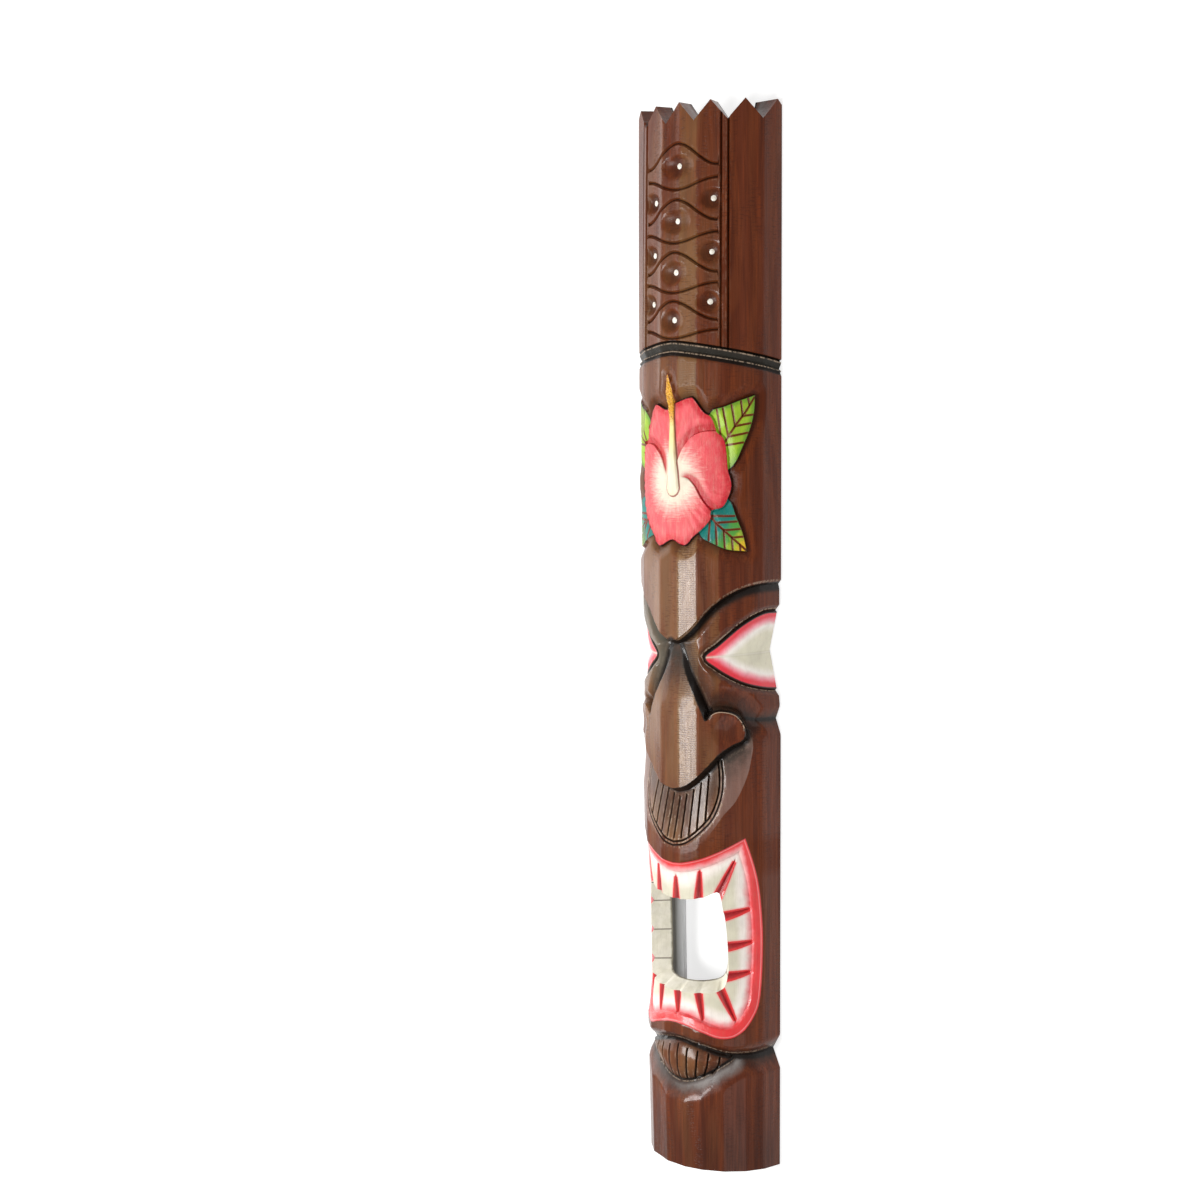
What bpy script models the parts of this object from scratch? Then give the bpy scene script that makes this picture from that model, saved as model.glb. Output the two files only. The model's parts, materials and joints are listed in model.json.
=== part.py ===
"""Carved wooden tiki mask, one piece of stained wood, in metres, +Z up.

The mask is a hollowed half log. It lies on its flat back with its face up:
X runs across the mask, Y along it with the crown at +Y, and Z out of the face.

The outside of the log is unrolled into a flat sheet. On the sheet s is the
distance round the log from the middle of the face, and v the distance up from
the foot. Every carved form is a path or a region on that sheet with a profile
that says how deep the chisel went. Positions on the sheet are shares of the
half girth and of the length. Widths, depths and walls are real sizes.
"""

import math

import bmesh
import bpy
import numpy as np
from mathutils import Vector
from mathutils.geometry import delaunay_2d_cdt

NAME = "tiki_mask"

# The log
LENGTH = 1.000
HALF_WIDTH_CROWN = 0.081
HALF_WIDTH_FOOT = 0.0723
BULGE_CROWN = 0.0575
BULGE_FOOT = 0.0655
BULGE_SWELL = 0.0075
WALL_FRONT = 0.019
RIM_WIDTH = 0.030
FACET_SAG = 0.0010
FACET_SPAN = 0.025

# Crown
CROWN_SPIKES = 7
CROWN_NOTCH = 0.018
PANEL_MIDDLE = 0.005
PANEL_HALF_WIDTH = 0.047
PANEL_LINE_GAP = 0.007
PANEL_LINE_WIDTH = 0.0036
PANEL_LINE_DEPTH = 0.0022
EYE_ROWS = 4
WAVE_WIDTH = 0.0044
WAVE_DEPTH = 0.0024
WAVE_RISE = 0.021
GOUGE_LENGTH = 0.039
GOUGE_HEIGHT = 0.0225
GOUGE_DEPTH = 0.0046
SIDE_GOUGE_RIGHT = 0.0388
SIDE_GOUGE_LEFT = 0.0365
PANEL_LEAN = 0.0016

# Cord band between crown and forehead
BAND_WIDTH = 0.0095
BAND_DEPTH = 0.0026
BAND_DROP = 0.0195

# Flower and leaves
FLOWER_SINK = 0.0028
FLOWER_HEART = 0.0014
PETAL_STEP = 0.0024
PETAL_FADE = 0.0120
FLOWER_CUT = 0.0054
FLOWER_HALO = 0.012
PISTIL_FOOT_WIDTH = 0.0125
PISTIL_NECK_WIDTH = 0.0062
PISTIL_HEAD_WIDTH = 0.0090
PISTIL_RISE = 0.0030
PISTIL_CUT = 0.0030
PISTIL_HALO = 0.007
LEAF_SINK = 0.0014
LEAF_CUT = 0.0038
LEAF_HALO = 0.010
VEIN_PAIRS = 4
VEIN_WIDTH = 0.0022
VEIN_DEPTH = 0.0012

# Face
BROW_DEPTH = 0.0095
BROW_WALL = 0.0040
BROW_RISE = 0.0100
FACE_SINK = 0.0020
EYE_RIM_WIDTH = 0.0070
EYE_RIM_DEPTH = 0.0045
EYE_EDGE_DEPTH = 0.0030
EYE_SLOPE = 0.24
EYE_SLOPE_LEFT = 0.04
EYE_SHIFT_LEFT = 0.0090
LID_DEPTH = 0.0058
LID_DEPTH_LEFT = 0.0032
LID_REACH = 0.0150
NOSE_WALL = 0.0045
NOSE_VALLEY = 0.0095
NOSE_REACH = 0.024
NOSE_REACH_LEFT = 0.012
NOSE_EASE_LEFT = 0.70
NOSTRIL_RADIUS = 0.0145
NOSTRIL_DEPTH = 0.0036
LIP_SCOOP = 0.0105
MOUSTACHE_GROOVES = 9
MOUSTACHE_LINE_WIDTH = 0.0026
MOUSTACHE_LINE_DEPTH = 0.0015

# Mouth
LIP_BAND = 0.0085
LIP_EDGE = 0.0016
MOUTH_SINK = 0.0048
GAP_WIDTH = 0.0095
GAP_DEPTH = 0.0036
MOUTH_FLARE = 0.0090
MOUTH_LEFT = 1.06

# Chin
CHIN_DEPTH = 0.0110
CHIN_ABOVE = 0.0140
CHIN_BELOW = 0.0180
BOSS_SINK = 0.0020
BOSS_ROUND = 0.0060
BOSS_CUT = 0.0085
BOSS_HALO = 0.020
BOSS_GROOVES = 9

# Mesh spacing
LINE_STEP = 0.0100
FINE_STEP = 0.0065
LATTICE_STEP = 0.0150

WOOD_COLOR = (0.105, 0.040, 0.022, 1.0)


def half_width(share):
    """Half width of the log at a share of its length."""
    return HALF_WIDTH_FOOT + (HALF_WIDTH_CROWN - HALF_WIDTH_FOOT) * share


def bulge(share):
    """Height of the log above its back plane at a share of its length."""
    swell = 4.0 * BULGE_SWELL * share * (1.0 - share)
    return BULGE_FOOT + (BULGE_CROWN - BULGE_FOOT) * share + swell


def cut_back(x, z, out_x, out_z, wide, high):
    """Distance from an outside point, along its normal, to the hollow."""
    a = (out_x / wide) ** 2 + (out_z / high) ** 2
    b = -2.0 * (x * out_x / wide ** 2 + z * out_z / high ** 2)
    c = (x / wide) ** 2 + (z / high) ** 2 - 1.0
    return (-b - np.sqrt(np.maximum(b * b - 4.0 * a * c, 0.0))) / (2.0 * a)


def girth_table(share):
    """Angles from the middle to the back, and the girth reached at each."""
    angle = np.linspace(0.0, math.pi / 2.0, 91)
    across = half_width(share) * np.cos(angle)
    down = bulge(share) * np.sin(angle)
    speed = np.hypot(across, down)
    steps = 0.5 * (speed[1:] + speed[:-1]) * np.diff(angle)
    return angle, np.concatenate([[0.0], np.cumsum(steps)])


HALF_GIRTH = float(girth_table(0.5)[1][-1])


def at(x, y):
    """Sheet point from shares of the half girth and of the length."""
    return np.array([x * HALF_GIRTH, y * LENGTH])


def angles(points):
    """Angle round the log for each sheet point, 0 at the middle of the face."""
    girth_share = np.clip(np.abs(points[:, 0]) / HALF_GIRTH, 0.0, 1.0)
    length_share = np.clip(points[:, 1] / LENGTH, 0.0, 1.0)
    stations = np.linspace(0.0, 1.0, 11)
    rows = []
    for share in stations:
        angle, girth = girth_table(share)
        rows.append(np.interp(girth_share, girth / girth[-1], angle))
    rows = np.array(rows)
    place = length_share * (len(stations) - 1)
    low = np.minimum(place.astype(int), len(stations) - 2)
    part = place - low
    index = np.arange(len(points))
    angle = rows[low, index] * (1.0 - part) + rows[low + 1, index] * part
    return np.sign(points[:, 0]) * angle


def log_surface(points):
    """Place of each sheet point on the whole log, and the normal there."""
    angle = angles(points)
    share = points[:, 1] / LENGTH
    cosine = np.cos(angle)
    cosine[np.abs(points[:, 0]) > HALF_GIRTH - 1e-7] = 0.0
    x = half_width(share) * np.sin(angle)
    z = bulge(share) * cosine
    out_x, out_z = np.sin(angle) / half_width(share), cosine / bulge(share)
    size = np.hypot(out_x, out_z)
    return x, z, out_x / size, out_z / size


def outside(points, depth):
    """Space positions of sheet points cut to a depth below the log."""
    x, z, out_x, out_z = log_surface(points)
    y = points[:, 1] - LENGTH / 2.0
    return np.column_stack([x - depth * out_x, y, z - depth * out_z])


def inside_hollow(points):
    """Space positions of sheet points on the wall of the hollow."""
    x, z, out_x, out_z = log_surface(points)
    share = points[:, 1] / LENGTH
    wide, high = half_width(share) - RIM_WIDTH, bulge(share) - WALL_FRONT
    wall = cut_back(x, z, out_x, out_z, wide, high)
    y = points[:, 1] - LENGTH / 2.0
    return np.column_stack([x - wall * out_x, y, z - wall * out_z])


def resample(path, step):
    """The path with its points spaced evenly, close to the step."""
    path = np.asarray(path, dtype=float)
    reach = np.concatenate([[0.0], np.cumsum(np.hypot(*np.diff(path, axis=0).T))])
    count = max(int(round(reach[-1] / step)), 1)
    marks = np.linspace(0.0, reach[-1], count + 1)
    return np.column_stack([np.interp(marks, reach, path[:, k]) for k in (0, 1)])


def curve(shares, step=LINE_STEP, closed=False):
    """Smooth path through points given as shares, by Catmull-Rom spans."""
    knots = [at(x, y) for x, y in shares]
    if closed:
        knots = [knots[-1]] + knots + [knots[0], knots[1]]
    else:
        knots = [2 * knots[0] - knots[1]] + knots + [2 * knots[-1] - knots[-2]]
    dense = []
    for a, b, c, d in zip(knots, knots[1:], knots[2:], knots[3:]):
        for t in np.arange(0.0, 1.0, 0.0625):
            blend = 2 * b + (c - a) * t
            blend = blend + (2 * a - 5 * b + 4 * c - d) * t * t
            blend = blend + (3 * b - a - 3 * c + d) * t * t * t
            dense.append(0.5 * blend)
    dense.append(knots[-2])
    return resample(dense, step)


def mirrored(path):
    """The path on the other side of the face."""
    return path * np.array([-1.0, 1.0])


def both_sides(half):
    """A path that starts at the middle of the face, carried over both sides."""
    return np.vstack([mirrored(half)[::-1], half[1:]])


def shifted(path, distance):
    """The path moved sideways, to its left for a positive distance."""
    along = np.gradient(path, axis=0)
    along /= np.maximum(np.hypot(along[:, 0], along[:, 1]), 1e-9)[:, None]
    return path + distance * np.column_stack([-along[:, 1], along[:, 0]])


def path_distance(points, path, reach=1.0):
    """Distance to a path and share along it, for points within the reach."""
    distance = np.full(len(points), reach)
    share = np.zeros(len(points))
    low, high = path.min(axis=0) - reach, path.max(axis=0) + reach
    near = np.nonzero(np.all((points > low) & (points < high), axis=1))[0]
    if len(near) == 0:
        return distance, share
    local = points[near]
    best = np.full(len(near), np.inf)
    where = np.zeros(len(near))
    lengths = np.hypot(*np.diff(path, axis=0).T)
    start = np.concatenate([[0.0], np.cumsum(lengths)])
    for k, length in enumerate(lengths):
        if length < 1e-9:
            continue
        span = path[k + 1] - path[k]
        t = np.clip((local - path[k]) @ span / length ** 2, 0.0, 1.0)
        gap = np.hypot(*(local - path[k] - t[:, None] * span).T)
        closer = gap < best
        best[closer] = gap[closer]
        where[closer] = (start[k] + t[closer] * length) / start[-1]
    distance[near] = np.minimum(best, reach)
    share[near] = where
    return distance, share


def is_inside(points, polygon):
    """Whether each point lies inside a closed polygon."""
    x, y = points[:, 0], points[:, 1]
    odd = np.zeros(len(points), dtype=bool)
    for (ax, ay), (bx, by) in zip(polygon, np.roll(polygon, -1, axis=0)):
        if ay == by:
            continue
        crosses = (ay > y) != (by > y)
        odd ^= crosses & (x < ax + (y - ay) * (bx - ax) / (by - ay))
    return odd


class Region:
    """A part of the sheet with a border, open where it meets the middle."""

    def __init__(self, border, closing=()):
        self.border = border
        corners = [border] + [np.array([point]) for point in closing]
        self.polygon = np.vstack(corners)

    def signed(self, points, reach=0.2):
        """Distance to the border, negative inside."""
        distance, _ = path_distance(points, self.border, reach)
        return np.where(is_inside(points, self.polygon), -distance, distance)


class Groove:
    """A V cut along a path, which may taper from its start to its end."""

    def __init__(self, path, width, depth, end_width=None, end_depth=None):
        self.path = path
        self.half = (width / 2.0, (width if end_width is None else end_width) / 2.0)
        self.depth = (depth, depth if end_depth is None else end_depth)

    def cut(self, points):
        """Depth that the groove adds at each point."""
        distance, share = path_distance(points, self.path, max(self.half) * 1.2)
        half = self.half[0] + (self.half[1] - self.half[0]) * share
        depth = self.depth[0] + (self.depth[1] - self.depth[0]) * share
        return depth * np.clip(1.0 - distance / half, 0.0, 1.0)

    def lines(self):
        """The bottom of the groove and its two edges."""
        share = np.linspace(0.0, 1.0, len(self.path))
        half = (self.half[0] + (self.half[1] - self.half[0]) * share)[:, None]
        side = shifted(self.path, 1.0) - self.path
        return [self.path, self.path + side * half, self.path - side * half]


# Edges of the long flats that the drawknife left, as shares of the half girth
FACET_EDGES = (-1.0, -0.80, -0.60, -0.40, -0.13, 0.08, 0.25, 0.45, 0.64, 0.82, 1.0)

# Paths of the face, from the middle outwards, as shares of half girth and length
BROW = curve([(0.0, 0.5055), (0.070, 0.5078), (0.192, 0.5183), (0.365, 0.5393),
              (0.569, 0.5541), (0.782, 0.5607), (1.02, 0.5615)])
EYE = curve([(1.02, 0.5310), (0.84, 0.5305), (0.640, 0.5205), (0.430, 0.5020),
             (0.305, 0.4905), (0.411, 0.4805), (0.545, 0.4719), (0.683, 0.4655),
             (0.86, 0.4610), (1.02, 0.4590)])
EYE_CREASE = curve([(0.305, 0.4905), (0.60, 0.4925), (1.02, 0.4935)])
LID = curve([(1.02, 0.4308), (0.850, 0.4312), (0.760, 0.4318), (0.680, 0.4330)])
NOSE = curve([(0.0, 0.5035), (0.045, 0.4990), (0.100, 0.4815), (0.150, 0.4690),
              (0.205, 0.4577), (0.285, 0.4400), (0.322, 0.4310),
              (0.374, 0.4380), (0.449, 0.4408), (0.562, 0.4380), (0.628, 0.4303),
              (0.655, 0.4216), (0.635, 0.4142), (0.533, 0.4085),
              (0.429, 0.4000), (0.333, 0.3886), (0.233, 0.3775),
              (0.120, 0.3688), (0.0, 0.3655)], FINE_STEP)
NOSTRIL = at(0.505, 0.4215)
SCOOP = curve([(0.700, 0.4250), (0.724, 0.4093), (0.706, 0.3951), (0.668, 0.3790),
               (0.576, 0.3569), (0.467, 0.3427), (0.376, 0.3281),
               (0.250, 0.3120), (0.120, 0.3060), (0.0, 0.3045)])
MOUSTACHE = curve([(0.0, 0.3145), (0.110, 0.3175), (0.226, 0.3265),
                   (0.350, 0.3410), (0.420, 0.3600), (0.435, 0.3775),
                   (0.420, 0.3930)], FINE_STEP)
LIP = np.vstack([
    curve([(0.0, 0.2948), (0.117, 0.2965), (0.293, 0.3023), (0.467, 0.3110),
           (0.650, 0.3215)]),
    curve([(0.650, 0.3215), (0.727, 0.2961), (0.773, 0.2747), (0.800, 0.2466),
           (0.809, 0.2219), (0.800, 0.1891), (0.775, 0.1630), (0.724, 0.1493),
           (0.633, 0.1368), (0.528, 0.1299), (0.396, 0.1296), (0.276, 0.1336),
           (0.114, 0.1387), (0.0, 0.1400)])[1:]])
MOUTH = curve([(0.0, 0.2590), (0.145, 0.2605), (0.273, 0.2632), (0.395, 0.2690),
               (0.438, 0.2640), (0.455, 0.2537), (0.480, 0.2400),
               (0.497, 0.2200), (0.505, 0.2030), (0.500, 0.1900),
               (0.470, 0.1790), (0.420, 0.1740), (0.300, 0.1715),
               (0.15, 0.1700), (0.0, 0.1695)], FINE_STEP)
CHIN = curve([(0.0, 0.1225), (0.080, 0.1219), (0.257, 0.1180), (0.388, 0.1141),
              (0.512, 0.1113), (0.644, 0.1106), (0.781, 0.1107), (1.02, 0.1135)])
BOSS = curve([(0.530, 0.1085), (0.419, 0.1012), (0.305, 0.0938), (0.171, 0.0872),
              (0.056, 0.0842), (0.0, 0.0838)], FINE_STEP)

# Gaps between the teeth: outer end, end at the opening, both as shares
TOOTH_GAPS = (
    ((0.000, 0.2819), (0.000, 0.2590)),
    ((0.250, 0.2895), (0.236, 0.2630)),
    ((0.566, 0.2994), (0.424, 0.2680)),
    ((0.710, 0.2529), (0.465, 0.2462)),
    ((0.728, 0.2211), (0.491, 0.2170)),
    ((0.712, 0.1923), (0.500, 0.1885)),
    ((0.567, 0.1448), (0.435, 0.1745)),
    ((0.262, 0.1445), (0.224, 0.1710)),
    ((0.000, 0.1488), (0.000, 0.1700)),
)

# Outline of the flower, and the petal edges that lie over the next petal
FLOWER_EDGE = curve([
    (-0.223, 0.7246), (-0.072, 0.7200), (0.028, 0.7260), (0.169, 0.7308),
    (0.215, 0.7295), (0.302, 0.7176), (0.366, 0.7135), (0.405, 0.7041),
    (0.415, 0.6994), (0.476, 0.6935), (0.501, 0.6812), (0.513, 0.6651),
    (0.543, 0.6503), (0.512, 0.6382), (0.464, 0.6301), (0.370, 0.6270),
    (0.366, 0.6194), (0.290, 0.6099), (0.212, 0.6030), (0.143, 0.5953),
    (0.085, 0.5955), (-0.009, 0.5996), (-0.166, 0.5933), (-0.246, 0.6026),
    (-0.360, 0.6150), (-0.440, 0.6293), (-0.480, 0.6561), (-0.460, 0.6850),
    (-0.380, 0.6950), (-0.320, 0.7080)], FINE_STEP, closed=True)
PETAL_UP = curve([(0.035, 0.6691), (0.096, 0.6827), (0.181, 0.6935),
                  (0.275, 0.6988), (0.402, 0.6999), (0.440, 0.6985)], FINE_STEP)
PETAL_LOW = curve([(0.040, 0.6569), (0.140, 0.6564), (0.209, 0.6503),
                   (0.276, 0.6382), (0.365, 0.6265), (0.400, 0.6230)], FINE_STEP)
PETAL_LEFT = curve([(-0.085, 0.6581), (-0.112, 0.6662), (-0.162, 0.6784),
                    (-0.254, 0.6866), (-0.360, 0.6880), (-0.470, 0.6850)],
                   FINE_STEP)
PISTIL = curve([(0.002, 0.6480), (0.001, 0.6854), (0.003, 0.7098),
                (-0.021, 0.7328), (-0.044, 0.7518)], FINE_STEP)

# Leaves on the right: the two edges that meet at the tip, then the midrib
UPPER_LEAF = (
    np.vstack([curve([(0.330, 0.6900), (0.354, 0.7162), (0.489, 0.7227),
                      (0.609, 0.7279), (0.742, 0.7326)]),
               curve([(0.742, 0.7326), (0.734, 0.7170), (0.696, 0.7010),
                      (0.634, 0.6850), (0.585, 0.6730), (0.525, 0.6650),
                      (0.420, 0.6600)])[1:]]),
    curve([(0.440, 0.6830), (0.489, 0.6906), (0.585, 0.7065), (0.658, 0.7171),
           (0.735, 0.7305)]))
LOWER_LEAF = (
    np.vstack([curve([(0.400, 0.6420), (0.506, 0.6382), (0.542, 0.6341),
                      (0.585, 0.6206), (0.633, 0.6070), (0.672, 0.5892)]),
               curve([(0.672, 0.5892), (0.512, 0.5910), (0.391, 0.5964),
                      (0.266, 0.6044), (0.260, 0.6150)])[1:]]),
    curve([(0.330, 0.6250), (0.379, 0.6194), (0.512, 0.6058), (0.664, 0.5905)]))


def ring_height(s):
    """Height of the upper edge of the cord band at each distance round."""
    share = np.abs(s) / HALF_GIRTH
    return 0.7830 * LENGTH - BAND_DROP * share ** 1.3


def wave_line(row, upper, s):
    """Height of a wave line over or under one row of gouges."""
    middle = gouge_height(row)
    inner = PANEL_HALF_WIDTH - PANEL_LINE_WIDTH
    lean = panel_lean(row)
    away = s - PANEL_MIDDLE
    part = np.where(away > lean, (away - lean) / (inner - lean),
                    (away - lean) / (inner + lean))
    swing = 0.5 + 0.5 * np.cos(np.pi * np.clip(part, -1.0, 1.0))
    if upper:
        return middle + WAVE_RISE * (1.0 - 0.05 * row) * swing
    fall = (0.55 + 0.45 * swing) * (1.0 - 0.07 * row)
    return middle - WAVE_RISE * fall


def panel_lean(row):
    """How far one row of the crown pattern stands off the panel's middle."""
    return -PANEL_LEAN * row


def gouge_height(row):
    """Height of the middle of one row of gouges."""
    return (0.9420 - 0.0515 * row + 0.0016 * row * row) * LENGTH


def crown_grooves():
    """Double lines at the panel's sides and the waves between them."""
    top = at(0.0, 1.02)[1]
    inner = PANEL_HALF_WIDTH - PANEL_LINE_WIDTH
    grooves = []
    for side in (-1.0, 1.0):
        for out in (PANEL_HALF_WIDTH, PANEL_HALF_WIDTH + PANEL_LINE_GAP):
            foot = ring_height(out)
            place = PANEL_MIDDLE + side * out
            line = np.array([[place, foot], [place, top]])
            line = resample(line, LATTICE_STEP * 2)
            grooves.append(Groove(line, PANEL_LINE_WIDTH, PANEL_LINE_DEPTH))
    across = np.linspace(-inner, inner, 15)
    for row in range(EYE_ROWS):
        for upper in (True, False):
            place = PANEL_MIDDLE + across
            path = np.column_stack([place, wave_line(row, upper, place)])
            grooves.append(Groove(path, WAVE_WIDTH, WAVE_DEPTH))
    return grooves


def gouges():
    """Middle and half sizes of each scooped oval on the crown panel."""
    found = []
    for row in range(EYE_ROWS):
        size = 1.0 - 0.10 * row
        middle = np.array([PANEL_MIDDLE + panel_lean(row), gouge_height(row)])
        found.append((middle, GOUGE_LENGTH / 2 * size, GOUGE_HEIGHT / 2))
    for row in range(EYE_ROWS - 1):
        height = 0.5 * (gouge_height(row) + gouge_height(row + 1)) - 0.006 * LENGTH
        for out in (-SIDE_GOUGE_LEFT, SIDE_GOUGE_RIGHT):
            middle = np.array([PANEL_MIDDLE + out + panel_lean(row), height])
            found.append((middle, GOUGE_LENGTH * 0.34, GOUGE_HEIGHT * 0.45))
    return found


def gouge_cut(points):
    """Depth of the scooped ovals."""
    depth = np.zeros(len(points))
    for middle, wide, high in gouges():
        away = (points - middle) / np.array([wide, high])
        bowl = 1.0 - np.sum(away ** 2, axis=1)
        depth = np.maximum(depth, GOUGE_DEPTH * np.clip(bowl, 0.0, 1.0))
    away = np.abs(points[:, 0] - PANEL_MIDDLE)
    edge = np.clip((PANEL_HALF_WIDTH - away) / PANEL_LINE_WIDTH, 0.0, 1.0)
    return depth * edge


def band_profile():
    """Distances below the band's upper edge and the depth at each."""
    w = BAND_WIDTH
    marks = np.array([-0.15, 0.0, 0.17, 0.45, 0.78, 0.98, 1.16, 1.50]) * w
    depths = np.array([0.0, 0.9, 0.1, 0.55, 1.1, 0.15, 0.6, 0.0]) * BAND_DEPTH
    return marks, depths


def pistil_half(share):
    """Half width of the pistil along its path, from its foot to its tip."""
    marks = [0.0, 0.30, 0.62, 0.72, 0.86, 1.0]
    widths = [PISTIL_FOOT_WIDTH, PISTIL_FOOT_WIDTH * 0.62, PISTIL_NECK_WIDTH,
              PISTIL_HEAD_WIDTH, PISTIL_HEAD_WIDTH, PISTIL_NECK_WIDTH * 0.35]
    return 0.5 * np.interp(share, marks, widths)


def petal_height(points):
    """Depth of the petals, each lower where the next one lies over it."""
    edge = -FLOWER.signed(points)
    heart = np.hypot(*(points - at(0.0, 0.655)).T)
    depth = FLOWER_SINK + FLOWER_HEART * np.clip(1.0 - heart / 0.045, 0.0, 1.0)
    depth = depth * np.clip(0.75 + 0.25 * edge / LIP_EDGE, 0.0, 1.0)
    for under in UNDER_PETALS:
        away = -under.signed(points)
        fade = np.clip(1.0 - away / PETAL_FADE, 0.0, 1.0) * np.clip(away / 0.001, 0, 1)
        depth = depth + PETAL_STEP * fade * np.clip((heart - 0.008) / 0.02, 0.0, 1.0)
    return depth


def leaf_veins(leaf):
    """Midrib and side veins of one leaf, as far as its edge."""
    border, rib = leaf
    region = Region(border)
    veins = [Groove(rib, VEIN_WIDTH, VEIN_DEPTH)]
    length = np.hypot(*np.diff(rib, axis=0).T).sum()
    path = resample(rib, length / 40.0)
    for k in range(VEIN_PAIRS):
        place = int(4 + 29 * k / max(VEIN_PAIRS - 1, 1))
        start = path[place]
        along = (path[place + 2] - path[place - 2])
        along = along / np.hypot(*along)
        across = np.array([-along[1], along[0]])
        for side in (-1.0, 1.0):
            slant = (along + side * across) / math.sqrt(2.0)
            steps = start + np.outer(np.arange(0.0, 0.05, 0.0005), slant)
            free = region.signed(steps) < -2.0 * VEIN_WIDTH / 2.0
            reach = int(np.argmin(free)) if not free.all() else len(free) - 1
            if reach > 8:
                line = np.array([start, steps[reach]])
                veins.append(Groove(line, VEIN_WIDTH, VEIN_DEPTH))
    return veins


def moustache_grooves():
    """The border lines of the moustache and the grooves that fan out in it."""
    border = both_sides(MOUSTACHE)
    gap = MOUSTACHE_LINE_WIDTH * 1.3
    grooves = [Groove(border, MOUSTACHE_LINE_WIDTH, MOUSTACHE_LINE_DEPTH)]
    grooves.append(Groove(shifted(border, -gap), MOUSTACHE_LINE_WIDTH,
                          MOUSTACHE_LINE_DEPTH * 0.7))
    for k in range(MOUSTACHE_GROOVES):
        spread = 2.0 * (k + 0.5) / MOUSTACHE_GROOVES - 1.0
        top = at(0.03 + 0.34 * spread, 0.3560 + 0.0270 * abs(spread) ** 1.4)
        foot = at(0.35 * spread, 0.3180 + 0.0250 * abs(spread) ** 2.2)
        path = resample([top, foot], LINE_STEP * 1.6)
        grooves.append(Groove(path, MOUSTACHE_LINE_WIDTH, MOUSTACHE_LINE_DEPTH))
    return grooves


def boss_grooves():
    """Curved grooves on the chin boss."""
    grooves = []
    for k in range(BOSS_GROOVES):
        spread = 2.0 * (k + 0.5) / BOSS_GROOVES - 1.0
        top = (0.47 * spread, 0.1170 - 0.008 * abs(spread))
        middle = (0.45 * spread, 0.1010)
        foot = (0.38 * spread, 0.0850 + 0.010 * spread * spread)
        path = curve([top, middle, foot], LINE_STEP * 1.4)
        grooves.append(Groove(path, MOUSTACHE_LINE_WIDTH, MOUSTACHE_LINE_DEPTH))
    return grooves


def tooth_gaps():
    """Wedge cuts between the teeth, widest at the opening."""
    grooves = []
    for outer, inner in TOOTH_GAPS:
        for side in (-1.0, 1.0):
            start = at(side * inner[0], inner[1])
            end = at(side * outer[0], outer[1])
            path = np.array([start, 0.5 * (start + end), end])
            grooves.append(Groove(path, GAP_WIDTH, GAP_DEPTH,
                                  GAP_WIDTH * 0.25, GAP_DEPTH * 0.4))
            if outer[0] == 0.0 and inner[0] == 0.0:
                break
    return grooves


REGIONS = {
    "below_brow": Region(BROW, [at(1.02, 0.0), at(0.0, 0.0)]),
    "eye": Region(EYE),
    "nose": Region(NOSE),
    "scoop": Region(SCOOP, [at(0.0, 0.46), at(0.70, 0.46)]),
    "lip": Region(LIP),
    "below_chin": Region(CHIN, [at(1.02, 0.0), at(0.0, 0.0)]),
    "boss": Region(BOSS, [at(0.0, 0.124), at(0.30, 0.119), at(0.535, 0.111)]),
}
FLOWER = Region(np.vstack([FLOWER_EDGE, FLOWER_EDGE[:1]]))
UNDER_PETALS = (
    Region(PETAL_UP, [at(0.45, 0.76), at(0.0, 0.76)]),
    Region(PETAL_LOW, [at(0.62, 0.63), at(0.62, 0.675), at(0.04, 0.675)]),
    Region(PETAL_LEFT, [at(-0.50, 0.75), at(0.0, 0.75), at(0.0, 0.66)]),
)
RIGHT_LEAVES = [UPPER_LEAF, LOWER_LEAF]
LEFT_LEAVES = [(mirrored(edge), mirrored(rib)) for edge, rib in RIGHT_LEAVES]
LEAVES = [Region(edge) for edge, _ in RIGHT_LEAVES + LEFT_LEAVES]
CROWN_GROOVES = crown_grooves()
MOUSTACHE_LINES = moustache_grooves()
BOSS_LINES = boss_grooves()
GAP_LINES = tooth_gaps()
VEINS = [vein for leaf in RIGHT_LEAVES + LEFT_LEAVES for vein in leaf_veins(leaf)]


def eye_place(points, on_left):
    """Points as the eye sees them; the left eye sits nearer to the nose."""
    place = points.copy()
    moved = np.minimum(points[:, 0] + EYE_SHIFT_LEFT, HALF_GIRTH)
    place[:, 0] = np.where(on_left, moved, points[:, 0])
    return place


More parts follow.
